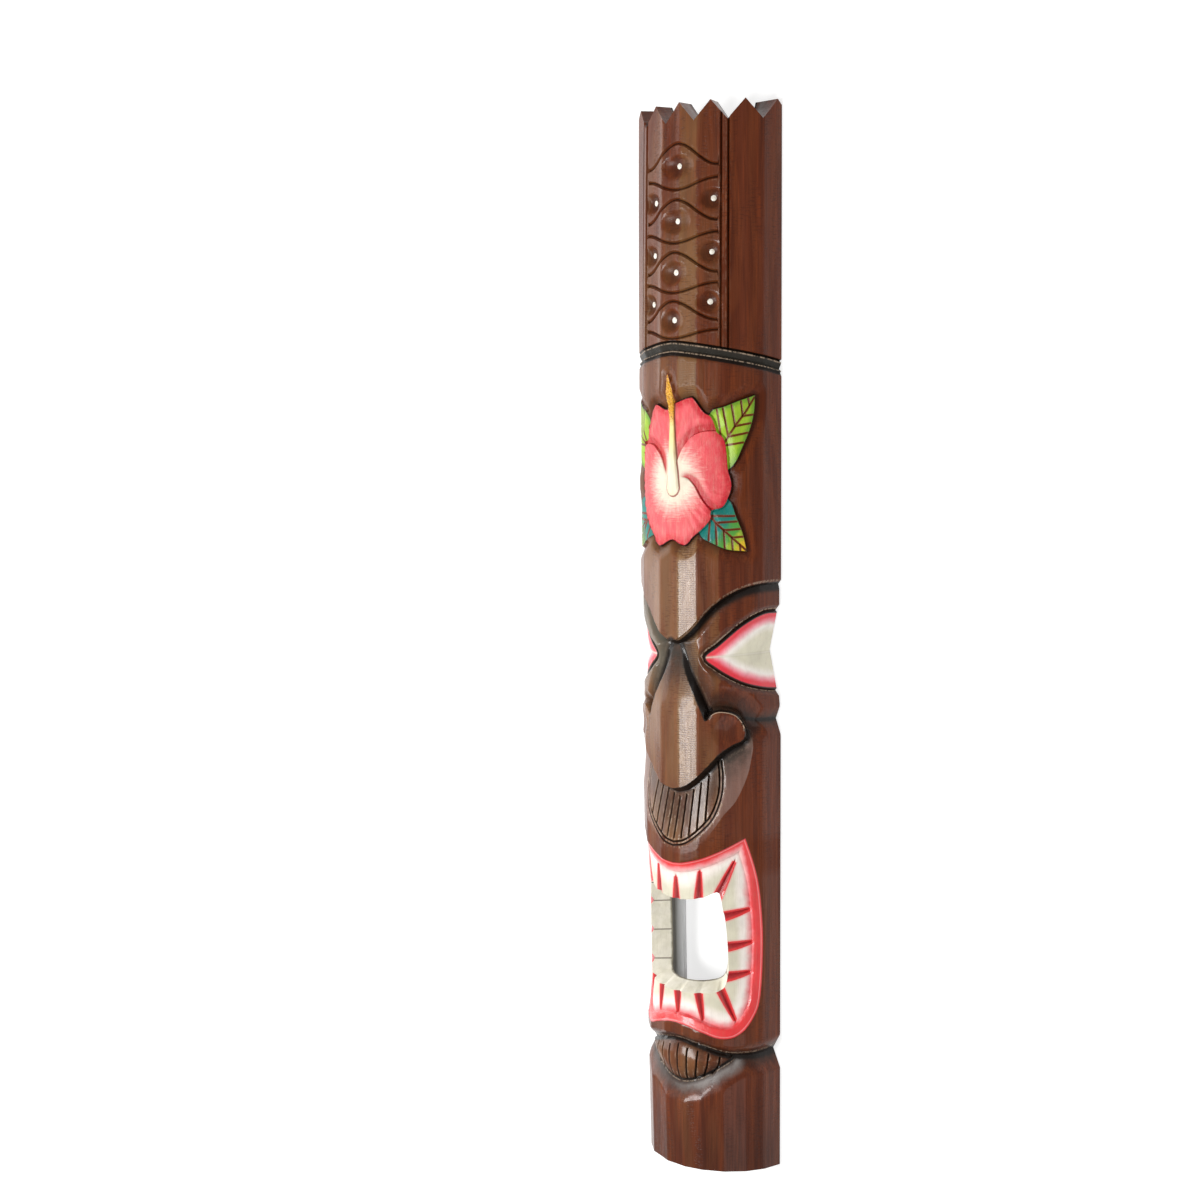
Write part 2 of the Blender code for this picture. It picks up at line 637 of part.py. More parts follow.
def face_depth(points, on_left):
    """Depth of the brow, eyes, lids, nose and cheeks; flatter on the left."""
    side = points[:, 0] / HALF_GIRTH
    share = points[:, 1] / LENGTH
    brow = -REGIONS["below_brow"].signed(points)
    eye = REGIONS["eye"].signed(eye_place(points, on_left))
    nose = REGIONS["nose"].signed(points)
    scoop = -REGIONS["scoop"].signed(points)
    lid, _ = path_distance(points, LID, LID_REACH * 1.2)
    fade = 1.0 - 0.65 * np.clip(side, 0.0, 1.0)

    sink = np.clip(brow / BROW_WALL, 0, 1) * np.clip((share - 0.432) / 0.02, 0, 1)
    depth = FACE_SINK * sink
    marks = [0.0, BROW_WALL, BROW_WALL + BROW_RISE]
    groove = BROW_DEPTH * fade * np.interp(brow, marks, [0.0, 1.0, 0.0])
    depth = np.maximum(depth, groove)
    lid_depth = np.where(on_left, LID_DEPTH_LEFT, LID_DEPTH)
    depth = np.maximum(depth, lid_depth * np.clip(1.0 - lid / LID_REACH, 0.0, 1.0))

    rim = np.interp(eye, [0.0, EYE_RIM_WIDTH * 0.25, EYE_RIM_WIDTH],
                    [EYE_EDGE_DEPTH, EYE_RIM_DEPTH, 0.0])
    slope = np.where(on_left, EYE_SLOPE_LEFT, EYE_SLOPE)
    socket = EYE_EDGE_DEPTH + slope * np.maximum(-eye, 0.0)
    eye_cut = FACE_SINK + np.where(eye < 0.0, socket, rim)
    depth = np.where(eye < EYE_RIM_WIDTH, np.maximum(depth, eye_cut), depth)

    wall = np.clip(nose / NOSE_WALL, 0.0, 1.0)
    far = np.where(on_left, NOSE_REACH_LEFT, NOSE_REACH)
    reach = np.clip(1.0 - (nose - NOSE_WALL) / far, 0.0, 1.0)
    beside = np.clip((share - 0.408) / 0.015, 0.0, 1.0)
    below_brow = np.clip(brow / BROW_WALL, 0.0, 1.0)
    root = NOSE_VALLEY * np.interp(share, [0.440, 0.498], [0.0, 1.0]) * below_brow
    ease = np.where(on_left, NOSE_EASE_LEFT * np.clip((side - 0.36) / 0.12, 0, 1), 0.0)
    cut = (root + (NOSE_VALLEY - root) * wall) * reach * beside * below_brow
    cut = cut * (1.0 - ease)
    below = np.clip((0.4240 - share) / 0.014, 0.0, 1.0)
    ramp = np.maximum(scoop, 0.0) / (np.maximum(scoop, 0.0) + np.maximum(nose, 1e-5))
    scoop_cut = np.where((scoop > 0.0) & (nose > 0.0), LIP_SCOOP * wall * ramp, 0.0)
    depth = np.maximum(depth, np.maximum(cut, scoop_cut * below))

    away = np.hypot(*(points - NOSTRIL).T) / NOSTRIL_RADIUS
    pit = NOSTRIL_DEPTH * np.clip(1.0 - away ** 2, 0.0, 1.0)
    return np.where(nose <= 0.0, np.maximum(root, pit), depth)


def mouth_depth(points):
    """Depth of the lip band and of the teeth inside it."""
    lip = -REGIONS["lip"].signed(points)
    marks = [0.0, LIP_EDGE, LIP_BAND, LIP_BAND + LIP_EDGE]
    depths = [0.0, MOUTH_SINK * 0.25, MOUTH_SINK * 0.55, MOUTH_SINK]
    return np.interp(lip, marks, depths)


def chin_depth(points):
    """Depth of the notch under the mouth and of the ribbed boss below it."""
    side = points[:, 0] / HALF_GIRTH
    chin = -REGIONS["below_chin"].signed(points)
    boss = REGIONS["boss"].signed(points)
    above = CHIN_ABOVE * (0.45 + 0.55 * np.clip(side, 0, 1))
    up = np.clip(1.0 + chin / above, 0.0, 1.0)
    down = np.clip(1.0 - chin / CHIN_BELOW, 0.0, 1.0)
    deep = CHIN_DEPTH * (1.0 - 0.25 * np.clip(side, 0, 1))
    notch = deep * np.where(chin < 0.0, up, down)
    halo = np.interp(boss, [0.0, LIP_EDGE, BOSS_HALO], [0.85, 1.0, 0.0]) * BOSS_CUT
    depth = np.maximum(notch, np.where(chin > 0.0, halo, 0.0))
    inward = np.clip(np.minimum(-boss, chin) / (BOSS_ROUND * 2.2), 0.0, 1.0)
    round_top = BOSS_SINK + BOSS_ROUND * (1.0 - np.sqrt(inward))
    return np.where(boss < 0.0, np.minimum(round_top, depth + BOSS_CUT), depth)


def flower_depth(points):
    """Depth of the flower, its leaves and the ground cut back round them."""
    depth = np.zeros(len(points))
    flower = FLOWER.signed(points)
    for leaf in LEAVES:
        edge = leaf.signed(points)
        marks = [0.0, LIP_EDGE, LEAF_HALO]
        halo = np.interp(edge, marks, [LEAF_SINK, LEAF_CUT, 0.0])
        depth = np.where(edge > 0.0, np.maximum(depth, halo), depth)
    for leaf in LEAVES:
        edge = leaf.signed(points)
        inside = edge <= 0.0
        depth = np.where(inside, LEAF_SINK, depth)
    for vein in VEINS:
        depth = depth + vein.cut(points)
    marks = [0.0, LIP_EDGE, FLOWER_HALO]
    halo = np.interp(flower, marks, [FLOWER_SINK, FLOWER_CUT, 0.0])
    depth = np.where(flower > 0.0, np.maximum(depth, halo), petal_height(points))
    distance, share = path_distance(points, PISTIL, 0.02)
    half = pistil_half(share)
    marks = [0.0, LIP_EDGE, PISTIL_HALO]
    halo = np.interp(distance - half, marks, [PISTIL_CUT * 0.8, PISTIL_CUT, 0.0])
    above = np.clip((points[:, 1] / LENGTH - 0.700) / 0.02, 0.0, 1.0)
    depth = np.where(distance > half, np.maximum(depth, halo * above), depth)
    crest = np.sqrt(np.clip(1.0 - (distance / half) ** 2, 0.0, 1.0))
    return np.maximum(depth - PISTIL_RISE * crest, 0.0)


def relief_depth(points):
    """How deep the carving goes below the log at each sheet point."""
    mirrored_points = np.column_stack([np.abs(points[:, 0]), points[:, 1]])
    below_band = ring_height(points[:, 0]) - points[:, 1]
    marks, depths = band_profile()
    depth = np.interp(below_band, marks, depths)
    on_crown = below_band < 0.0
    crown = np.zeros(len(points))
    for groove in CROWN_GROOVES:
        crown = np.maximum(crown, groove.cut(points))
    crown = np.maximum(crown, gouge_cut(points))
    depth = depth + np.where(on_crown, crown, 0.0)
    carved = face_depth(mirrored_points, points[:, 0] < 0.0)
    carved = np.maximum(carved, mouth_depth(mirrored_points))
    carved = np.maximum(carved, chin_depth(mirrored_points))
    carved = np.maximum(carved, flower_depth(points))
    clear_of_nose = REGIONS["nose"].signed(mirrored_points) > 0.0
    for groove in MOUSTACHE_LINES:
        carved = carved + groove.cut(points) * clear_of_nose
    for groove in BOSS_LINES + GAP_LINES:
        carved = carved + groove.cut(points)
    return depth + carved + facet_depth(points) * np.clip(1.0 - carved / 0.002, 0, 1)


def facet_depth(points):
    """How far the long flats lie below the round of the log."""
    edges = np.array(FACET_EDGES) * HALF_GIRTH
    index = np.clip(np.searchsorted(edges, points[:, 0]) - 1, 0, len(edges) - 2)
    span = edges[index + 1] - edges[index]
    share = np.clip((points[:, 0] - edges[index]) / span, 0.0, 1.0)
    sag = FACET_SAG * (span / FACET_SPAN) ** 2
    return sag * (1.0 - (2.0 * share - 1.0) ** 2)


def crown_edge():
    """Top edge of the sheet from right to left, with its cut spikes."""
    pitch = 2.0 * HALF_GIRTH / (CROWN_SPIKES - 0.31)
    tip = HALF_GIRTH - 0.15 * pitch
    points = [(HALF_GIRTH, LENGTH - CROWN_NOTCH * 0.30)]
    for k in range(CROWN_SPIKES):
        points.append((tip - k * pitch, LENGTH))
        points.append((tip - (k + 0.5) * pitch, LENGTH - CROWN_NOTCH))
    points = [point for point in points if point[0] > -HALF_GIRTH + 1e-4]
    points.append((-HALF_GIRTH, LENGTH - CROWN_NOTCH))
    return np.array(points)


def sheet_border():
    """Closed border of the sheet: foot, right side, crown and left side."""
    corners = [(-HALF_GIRTH, 0.0), (HALF_GIRTH, 0.0)]
    corners += [tuple(point) for point in crown_edge()]
    corners.append((-HALF_GIRTH, 0.0))
    pieces = []
    for a, b in zip(corners, corners[1:]):
        pieces.append(resample([a, b], LATTICE_STEP)[:-1])
    return np.vstack(pieces)


def mouth_border():
    """Closed border of the mouth opening."""
    loop = both_sides(MOUTH)[:-1]
    loop[:, 0] *= np.where(loop[:, 0] < 0.0, MOUTH_LEFT, 1.0)
    return loop


def flared(points):
    """Edge of the mouth opening on the hollow side, higher along its foot."""
    low = np.clip((0.205 - points[:, 1] / LENGTH) / 0.03, 0.0, 1.0)
    return points + np.column_stack([np.zeros(len(points)), MOUTH_FLARE * low])


def feature_lines():
    """Every line that the faces of the carved sheet have to follow."""
    lines = []
    across = np.linspace(-HALF_GIRTH * 1.02, HALF_GIRTH * 1.02, 19)
    for mark in band_profile()[0]:
        lines.append(np.column_stack([across, ring_height(across) - mark]))
    for groove in CROWN_GROOVES + MOUSTACHE_LINES + BOSS_LINES + GAP_LINES + VEINS:
        lines += groove.lines()
    for middle, wide, high in gouges():
        for size, count in ((1.0, 12), (0.55, 8)):
            turn = np.linspace(0.0, 2 * math.pi, count + 1)
            ring = np.column_stack([wide * np.cos(turn), high * np.sin(turn)])
            lines.append(middle + size * ring)
    brow = both_sides(BROW)
    for distance in (0.0, -BROW_WALL, -BROW_WALL - BROW_RISE):
        lines.append(shifted(brow, distance))
    chin = both_sides(CHIN)
    for distance in (0.0, CHIN_ABOVE * 0.7, -CHIN_BELOW):
        lines.append(shifted(chin, distance))
    nose = both_sides(NOSE)
    lip = both_sides(LIP)
    for distance in (0.0, NOSE_WALL):
        lines.append(shifted(nose, distance))
    for distance in (0.0, -LIP_EDGE, -LIP_BAND, -LIP_BAND - LIP_EDGE):
        lines.append(shifted(lip, distance))
    for distance in (0.0, -EYE_RIM_WIDTH * 0.25, -EYE_RIM_WIDTH):
        rim = shifted(EYE, distance)
        lines += [rim, mirrored(rim) + np.array([EYE_SHIFT_LEFT, 0.0])]
    lines += [EYE_CREASE, mirrored(EYE_CREASE) + np.array([EYE_SHIFT_LEFT, 0.0])]
    halves = [SCOOP, LID]
    halves += [shifted(LID, LID_REACH), shifted(LID, -LID_REACH)]
    for distance in (0.0, -LIP_EDGE, BOSS_ROUND):
        halves.append(shifted(BOSS, -distance))
    turn = np.linspace(0.0, 2 * math.pi, 11)
    ring = NOSTRIL_RADIUS * np.column_stack([np.cos(turn), np.sin(turn)])
    halves += [NOSTRIL + ring, NOSTRIL + 0.5 * ring]
    for half in halves:
        lines += [half, mirrored(half)]
    outline = FLOWER.border
    lines += [outline, shifted(outline, -LIP_EDGE)]
    lines.append(resample(shifted(outline, FLOWER_HALO), LINE_STEP * 1.5))
    for petal, side in zip(UNDER_PETALS, (1.0, 1.0, -1.0)):
        for distance in (0.0, 0.0013, PETAL_FADE):
            lines.append(shifted(petal.border, side * distance))
    half = pistil_half(np.linspace(0.0, 1.0, len(PISTIL)))[:, None]
    side = shifted(PISTIL, 1.0) - PISTIL
    lines += [PISTIL, PISTIL + side * half, PISTIL - side * half]
    head = half[len(half) // 2:] + LIP_EDGE
    lines += [PISTIL[len(half) // 2:] + side[len(half) // 2:] * head * k for k in (1, -1)]
    for leaf in LEAVES:
        lines += [leaf.border, shifted(leaf.border, LIP_EDGE)]
        lines.append(resample(shifted(leaf.border, LEAF_HALO), LINE_STEP * 1.5))
    return lines


def lattice(taken, step, clearance):
    """Evenly spread sheet points, left out where a line already passes."""
    edges = np.array(FACET_EDGES) * HALF_GIRTH
    xs = np.sort(np.concatenate([edges[1:-1], 0.5 * (edges[1:] + edges[:-1])]))
    ys = np.arange(step / 2, LENGTH, step)
    grid = np.array([(x, y) for y in ys for x in xs if abs(x) < HALF_GIRTH])
    busy = {(int(x // clearance), int(y // clearance)) for x, y in taken}
    keep = [(int(x // clearance), int(y // clearance)) not in busy for x, y in grid]
    return grid[np.array(keep)]


def triangulate(loops, lines, extra, clear):
    """Faces between the loops that follow all the lines, by Delaunay."""
    points, edges = [], []
    for loop in loops:
        first = len(points)
        points += [tuple(point) for point in loop]
        count = len(loop)
        edges += [(first + k, first + (k + 1) % count) for k in range(count)]
    for line in lines:
        first = len(points)
        points += [tuple(point) for point in line]
        edges += [(first + k, first + k + 1) for k in range(len(line) - 1)]
    points += [tuple(point) for point in extra]
    flat = [Vector(point) for point in points]
    result = delaunay_2d_cdt(flat, edges, [], 0, clear)
    corners = np.array([tuple(point) for point in result[0]])
    faces = np.array([face for face in result[2] if len(face) == 3])
    middle = corners[faces].mean(axis=1)
    keep = is_inside(middle, loops[0])
    for hole in loops[1:]:
        keep &= ~is_inside(middle, hole)
    return corners, faces[keep]


def border_edges(faces):
    """Directed edges that only one face uses."""
    seen = {}
    for face in faces:
        for a, b in zip(face, np.roll(face, -1)):
            seen[(int(a), int(b))] = True
    return [edge for edge in seen if (edge[1], edge[0]) not in seen]


def border_loops(faces):
    """Loops of vertex indices round the sheet and round its hole."""
    follow = dict(border_edges(faces))
    loops = []
    while follow:
        start, current = next(iter(follow.items()))
        loop = [start]
        del follow[start]
        while current != start:
            loop.append(current)
            current = follow.pop(current)
        loops.append(loop)
    return sorted(loops, key=len, reverse=True)


def wood_material():
    """Dark red-brown stained wood with a satin finish."""
    material = bpy.data.materials.new("stained_wood")
    material.use_nodes = True
    shader = material.node_tree.nodes["Principled BSDF"]
    shader.inputs["Base Color"].default_value = WOOD_COLOR
    shader.inputs["Roughness"].default_value = 0.42
    shader.inputs["Metallic"].default_value = 0.0
    return material


def build_mask():
    """The closed shell of the mask as a mesh."""
    lines = feature_lines()
    taken = np.vstack([resample(line, LATTICE_STEP / 3) for line in lines])
    loops = [sheet_border(), mouth_border()]
    extra = lattice(taken, LATTICE_STEP, LATTICE_STEP * 0.62)
    corners, faces = triangulate(loops, lines, extra, 0.0004)
    used = np.unique(faces)
    renumber = np.full(len(corners), -1)
    renumber[used] = np.arange(len(used))
    corners, faces = corners[used], renumber[faces]
    rings = border_loops(faces)
    front = outside(corners, relief_depth(corners))

    rim_points = [corners[rings[0]], flared(corners[rings[1]])]
    inner_extra = lattice(np.vstack(rim_points), LATTICE_STEP * 3.2, LATTICE_STEP)
    inner_corners, inner_faces = triangulate(rim_points, [], inner_extra, 1e-6)
    back = inside_hollow(inner_corners)

    mesh = bpy.data.meshes.new(NAME)
    shell = bmesh.new()
    outer = [shell.verts.new(point) for point in front]
    inner = [shell.verts.new(point) for point in back]
    for a, b, c in faces:
        shell.faces.new((outer[a], outer[b], outer[c]))
    for a, b, c in inner_faces:
        shell.faces.new((inner[c], inner[b], inner[a]))
    for ring, rim in zip(rings, rim_points):
        partner = []
        for point in rim:
            gap = np.hypot(*(inner_corners - point).T)
            partner.append(int(gap.argmin()))
        count = len(ring)
        for k in range(count):
            a, b = ring[k], ring[(k + 1) % count]
            c, d = partner[(k + 1) % count], partner[k]
            shell.faces.new((outer[b], outer[a], inner[d], inner[c]))
    shell.verts.ensure_lookup_table()
    bmesh.ops.delete(shell, geom=[v for v in shell.verts if not v.link_faces],
                     context="VERTS")
    bmesh.ops.triangulate(shell, faces=[f for f in shell.faces if len(f.verts) > 3])
    bmesh.ops.recalc_face_normals(shell, faces=shell.faces)
    shell.to_mesh(mesh)
    shell.free()
    return mesh


def main():
    """Clear the scene and add the mask in a collection of its own."""
    for item in list(bpy.data.objects):
        bpy.data.objects.remove(item, do_unlink=True)
    collection = bpy.data.collections.new("Tiki mask")
    bpy.context.scene.collection.children.link(collection)
    mesh = build_mask()
    mask = bpy.data.objects.new(NAME, mesh)
    mask.data.materials.append(wood_material())
    collection.objects.link(mask)
    mask.data.shade_smooth()
    mask.data.set_sharp_from_angle(angle=math.radians(28.0))


main()
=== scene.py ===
"""Dressed model of the carved tiki mask, for a photograph-like view.

The mask is one hollowed half log, so its carved body is one piece that stands
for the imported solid. The body's outside is unrolled into a sheet: s is the
distance round the log from the middle of the face, and v the distance up from
the foot. Each carving class says how deep the chisel went at a sheet point,
which lines the faces follow, and which marks the stain and the paints read.
"""

from __future__ import annotations

import json
import logging
import math
from dataclasses import dataclass, field
from enum import Enum

import bmesh
import bpy
import numpy as np
from mathutils import Matrix, Vector
from mathutils.geometry import delaunay_2d_cdt

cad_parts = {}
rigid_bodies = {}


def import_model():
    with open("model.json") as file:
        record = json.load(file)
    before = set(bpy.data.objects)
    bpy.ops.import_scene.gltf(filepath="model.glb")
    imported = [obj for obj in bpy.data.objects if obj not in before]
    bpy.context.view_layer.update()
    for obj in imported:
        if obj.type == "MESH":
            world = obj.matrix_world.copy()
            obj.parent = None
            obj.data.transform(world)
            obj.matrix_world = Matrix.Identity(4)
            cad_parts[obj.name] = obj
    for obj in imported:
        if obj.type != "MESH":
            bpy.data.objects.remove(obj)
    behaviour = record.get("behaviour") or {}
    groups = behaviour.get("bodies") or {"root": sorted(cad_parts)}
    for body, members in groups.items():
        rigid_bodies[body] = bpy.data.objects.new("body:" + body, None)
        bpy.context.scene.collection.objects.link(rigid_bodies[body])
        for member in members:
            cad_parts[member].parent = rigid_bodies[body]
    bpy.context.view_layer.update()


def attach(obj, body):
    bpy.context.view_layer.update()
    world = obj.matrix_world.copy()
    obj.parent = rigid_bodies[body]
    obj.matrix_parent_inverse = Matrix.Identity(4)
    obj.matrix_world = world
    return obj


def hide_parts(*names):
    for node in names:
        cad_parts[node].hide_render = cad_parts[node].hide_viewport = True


log = logging.getLogger("tiki_mask_scene")

Points = np.ndarray
Values = np.ndarray
LENGTH = 1.000


def rgb(code: str) -> tuple[float, float, float, float]:
    """Turn a six-figure screen colour into a linear colour.

    Args:
        code: The colour as six hexadecimal figures.

    Returns:
        Red, green, blue and alpha for a shader socket.
    """
    parts = [int(code[k:k + 2], 16) / 255.0 for k in (0, 2, 4)]
    linear = [c / 12.92 if c <= 0.04045 else ((c + 0.055) / 1.055) ** 2.4 for c in parts]
    return (linear[0], linear[1], linear[2], 1.0)


@dataclass(frozen=True)
class HalfLog:
    """The log before carving: half an oval in section, swollen at the face."""

    half_width_crown: float = 0.081
    half_width_foot: float = 0.0723
    bulge_crown: float = 0.0575
    bulge_foot: float = 0.0655
    bulge_swell: float = 0.0075
    wall_front: float = 0.019
    rim_width: float = 0.030

    def half_width(self, share: Values) -> Values:
        """Half width at a share of the length."""
        return self.half_width_foot + (self.half_width_crown - self.half_width_foot) * share

    def bulge(self, share: Values) -> Values:
        """Height above the flat back at a share of the length."""
        swell = 4.0 * self.bulge_swell * share * (1.0 - share)
        return self.bulge_foot + (self.bulge_crown - self.bulge_foot) * share + swell

    def girth_table(self, share: float) -> tuple[Values, Values]:
        """Measure the way round the log at one height.

        Args:
            share: Height as a share of the length.

        Returns:
            Angles from the middle to the back, and the girth reached at each.
        """
        angle = np.linspace(0.0, math.pi / 2.0, 91)
        across = self.half_width(share) * np.cos(angle)
        down = self.bulge(share) * np.sin(angle)
        speed = np.hypot(across, down)
        steps = 0.5 * (speed[1:] + speed[:-1]) * np.diff(angle)
        return angle, np.concatenate([[0.0], np.cumsum(steps)])

    @property
    def half_girth(self) -> float:
        """Way from the middle of the face to the back edge, at half height."""
        return float(self.girth_table(0.5)[1][-1])

    def angles(self, points: Points) -> Values:
        """Find where each sheet point lies round the log.

        Args:
            points: Sheet points.

        Returns:
            Signed angles from the middle of the face.
        """
        girth_share = unit(np.abs(points[:, 0]) / HALF_GIRTH)
        length_share = unit(points[:, 1] / LENGTH)
        stations = np.linspace(0.0, 1.0, 11)
        rows = []
        for share in stations:
            angle, girth = self.girth_table(share)
            rows.append(np.interp(girth_share, girth / girth[-1], angle))
        table = np.array(rows)
        place = length_share * (len(stations) - 1)
        low = np.minimum(place.astype(int), len(stations) - 2)
        part = place - low
        index = np.arange(len(points))
        angle = table[low, index] * (1.0 - part) + table[low + 1, index] * part
        return np.sign(points[:, 0]) * angle

    def surface(self, points: Points) -> tuple[Values, Values, Values, Values]:
        """Place of each sheet point on the whole log, and the normal there."""
        angle = self.angles(points)
        share = points[:, 1] / LENGTH
        cosine = np.cos(angle)
        cosine[np.abs(points[:, 0]) > HALF_GIRTH - 1e-7] = 0.0
        x = self.half_width(share) * np.sin(angle)
        z = self.bulge(share) * cosine
        out_x = np.sin(angle) / self.half_width(share)
        out_z = cosine / self.bulge(share)
        size = np.hypot(out_x, out_z)
        return x, z, out_x / size, out_z / size

    def outside(self, points: Points, depth: Values) -> Points:
        """Space positions of sheet points cut to a depth below the log."""
        x, z, out_x, out_z = self.surface(points)
        y = points[:, 1] - LENGTH / 2.0
        return np.column_stack([x - depth * out_x, y, z - depth * out_z])

    def inside(self, points: Points) -> Points:
        """Space positions of sheet points on the wall of the hollow."""
        x, z, out_x, out_z = self.surface(points)
        share = points[:, 1] / LENGTH
        wide = self.half_width(share) - self.rim_width
        high = self.bulge(share) - self.wall_front
        a = (out_x / wide) ** 2 + (out_z / high) ** 2
        b = -2.0 * (x * out_x / wide ** 2 + z * out_z / high ** 2)
        c = (x / wide) ** 2 + (z / high) ** 2 - 1.0
        wall = (-b - np.sqrt(np.maximum(b * b - 4.0 * a * c, 0.0))) / (2.0 * a)
        y = points[:, 1] - LENGTH / 2.0
        return np.column_stack([x - wall * out_x, y, z - wall * out_z])


LOG = HalfLog()
HALF_GIRTH = LOG.half_girth


def at(x: float, y: float) -> Points:
    """Sheet point from shares of the half girth and of the length."""
    return np.array([x * HALF_GIRTH, y * LENGTH])


def resample(path: Points, step: float) -> Points:
    """The path with its points spaced evenly, close to the step."""
    path = np.asarray(path, dtype=float)
    reach = np.concatenate([[0.0], np.cumsum(np.hypot(*np.diff(path, axis=0).T))])
    count = max(int(round(reach[-1] / step)), 1)
    marks = np.linspace(0.0, reach[-1], count + 1)
    return np.column_stack([np.interp(marks, reach, path[:, k]) for k in (0, 1)])


def curve(shares: list, step: float = 0.0036, closed: bool = False) -> Points:
    """Draw a smooth path through knots.

    Args:
        shares: Knots, as shares of the half girth and of the length.
        step: Spacing of the points made.
        closed: True for a path that comes back to its first knot.

    Returns:
        Points along the path.
    """
    knots = [at(x, y) for x, y in shares]
    if closed:
        knots = [knots[-1]] + knots + [knots[0], knots[1]]
    else:
        knots = [2 * knots[0] - knots[1]] + knots + [2 * knots[-1] - knots[-2]]
    dense = []
    for a, b, c, d in zip(knots, knots[1:], knots[2:], knots[3:]):
        for t in np.arange(0.0, 1.0, 0.0625):
            blend = 2 * b + (c - a) * t
            blend = blend + (2 * a - 5 * b + 4 * c - d) * t * t
            blend = blend + (3 * b - a - 3 * c + d) * t * t * t
            dense.append(0.5 * blend)
    dense.append(knots[-2])
    return resample(np.array(dense), step)


def mirrored(path: Points) -> Points:
    """The path on the other side of the face."""
    return path * np.array([-1.0, 1.0])


def both_sides(half: Points) -> Points:
    """A path from the middle of the face, carried over both sides."""
    return np.vstack([mirrored(half)[::-1], half[1:]])


def shifted(path: Points, distance: float) -> Points:
    """The path moved sideways, to its left for a positive distance."""
    along = np.gradient(path, axis=0)
    along /= np.maximum(np.hypot(along[:, 0], along[:, 1]), 1e-9)[:, None]
    return path + distance * np.column_stack([-along[:, 1], along[:, 0]])


def path_distance(points: Points, path: Points, reach: float) -> tuple[Values, Values]:
    """Measure how far points are from a path.

    Args:
        points: Sheet points.
        path: The path.
        reach: Distance beyond which nothing is measured.

    Returns:
        The distance, at most the reach, and the share along the path.
    """
    distance = np.full(len(points), reach)
    share = np.zeros(len(points))
    low, high = path.min(axis=0) - reach, path.max(axis=0) + reach
    near = np.nonzero(np.all((points > low) & (points < high), axis=1))[0]
    if len(near) == 0:
        return distance, share
    local = points[near]
    best = np.full(len(near), np.inf)
    where = np.zeros(len(near))
    lengths = np.hypot(*np.diff(path, axis=0).T)
    start = np.concatenate([[0.0], np.cumsum(lengths)])
    for k, length in enumerate(lengths):
        if length < 1e-9:
            continue
        span = path[k + 1] - path[k]
        t = unit((local - path[k]) @ span / length ** 2)
        gap = np.hypot(*(local - path[k] - t[:, None] * span).T)
        closer = gap < best
        best[closer] = gap[closer]
        where[closer] = (start[k] + t[closer] * length) / start[-1]
    distance[near] = np.minimum(best, reach)
    share[near] = where
    return distance, share


def is_inside(points: Points, polygon: Points) -> Values:
    """Whether each point lies inside a closed polygon."""
    x, y = points[:, 0], points[:, 1]
    odd = np.zeros(len(points), dtype=bool)
    for (ax, ay), (bx, by) in zip(polygon, np.roll(polygon, -1, axis=0)):
        if ay == by:
            continue
        crosses = (ay > y) != (by > y)
        odd ^= crosses & (x < ax + (y - ay) * (bx - ax) / (by - ay))
    return odd


def unit(values: Values) -> Values:
    """Hold values between 0 and 1."""
    return np.clip(values, 0.0, 1.0)


def ridge(distance: Values, middle: float, half: float) -> Values:
    """A soft mark, 1 at a distance from a line and 0 past half a width."""
    return unit(1.0 - np.abs(distance - middle) / half)


def fall(distance: Values, reach: float) -> Values:
    """A soft fade from 1 at a line to 0 at the reach, on its outer side."""
    return unit(1.0 - np.abs(distance) / reach) ** 1.5


class Region:
    """A part of the sheet with a border, open where it meets the middle."""

    def __init__(self, border: Points, closing: list | None = None) -> None:
        """Keep the border and close it into a polygon."""
        self.border = border
        corners = [border] + [np.array([point]) for point in (closing or [])]
        self.polygon = np.vstack(corners)

    def signed(self, points: Points, reach: float = 0.2) -> Values:
        """Distance to the border, negative inside."""
        distance, _ = path_distance(points, self.border, reach)
        return np.where(is_inside(points, self.polygon), -distance, distance)


@dataclass
class Groove:
    """A V cut along a path, which may taper from its start to its end."""

    path: Points
    width: float
    depth: float
    end_width: float | None = None
    end_depth: float | None = None

    def sizes(self, share: Values) -> tuple[Values, Values]:
        """Half width and depth at a share along the path."""
        last_width = self.width if self.end_width is None else self.end_width
        last_depth = self.depth if self.end_depth is None else self.end_depth
        half = 0.5 * (self.width + (last_width - self.width) * share)
        return half, self.depth + (last_depth - self.depth) * share

    def measure(self, points: Points) -> tuple[Values, Values, Values]:
        """Depth, darkness at the bottom and lightness along the edges.

        Args:
            points: Sheet points.

        Returns:
            The depth cut, how far in the groove, and how close to its edge.
        """
        width = max(self.width, self.end_width or 0.0)
        distance, share = path_distance(points, self.path, width + 0.004)
        half, depth = self.sizes(share)
        into = unit(1.0 - distance / half)
        edge = ridge(distance, half + 0.0006, 0.0011) * (distance < width + 0.0039)
        return depth * into ** 0.8, into, edge

    def lines(self) -> list[Points]:
        """The bottom of the groove and its two edges."""
        share = np.linspace(0.0, 1.0, len(self.path))
        half = self.sizes(share)[0][:, None]
        side = shifted(self.path, 1.0) - self.path
        return [self.path, self.path + side * half, self.path - side * half]


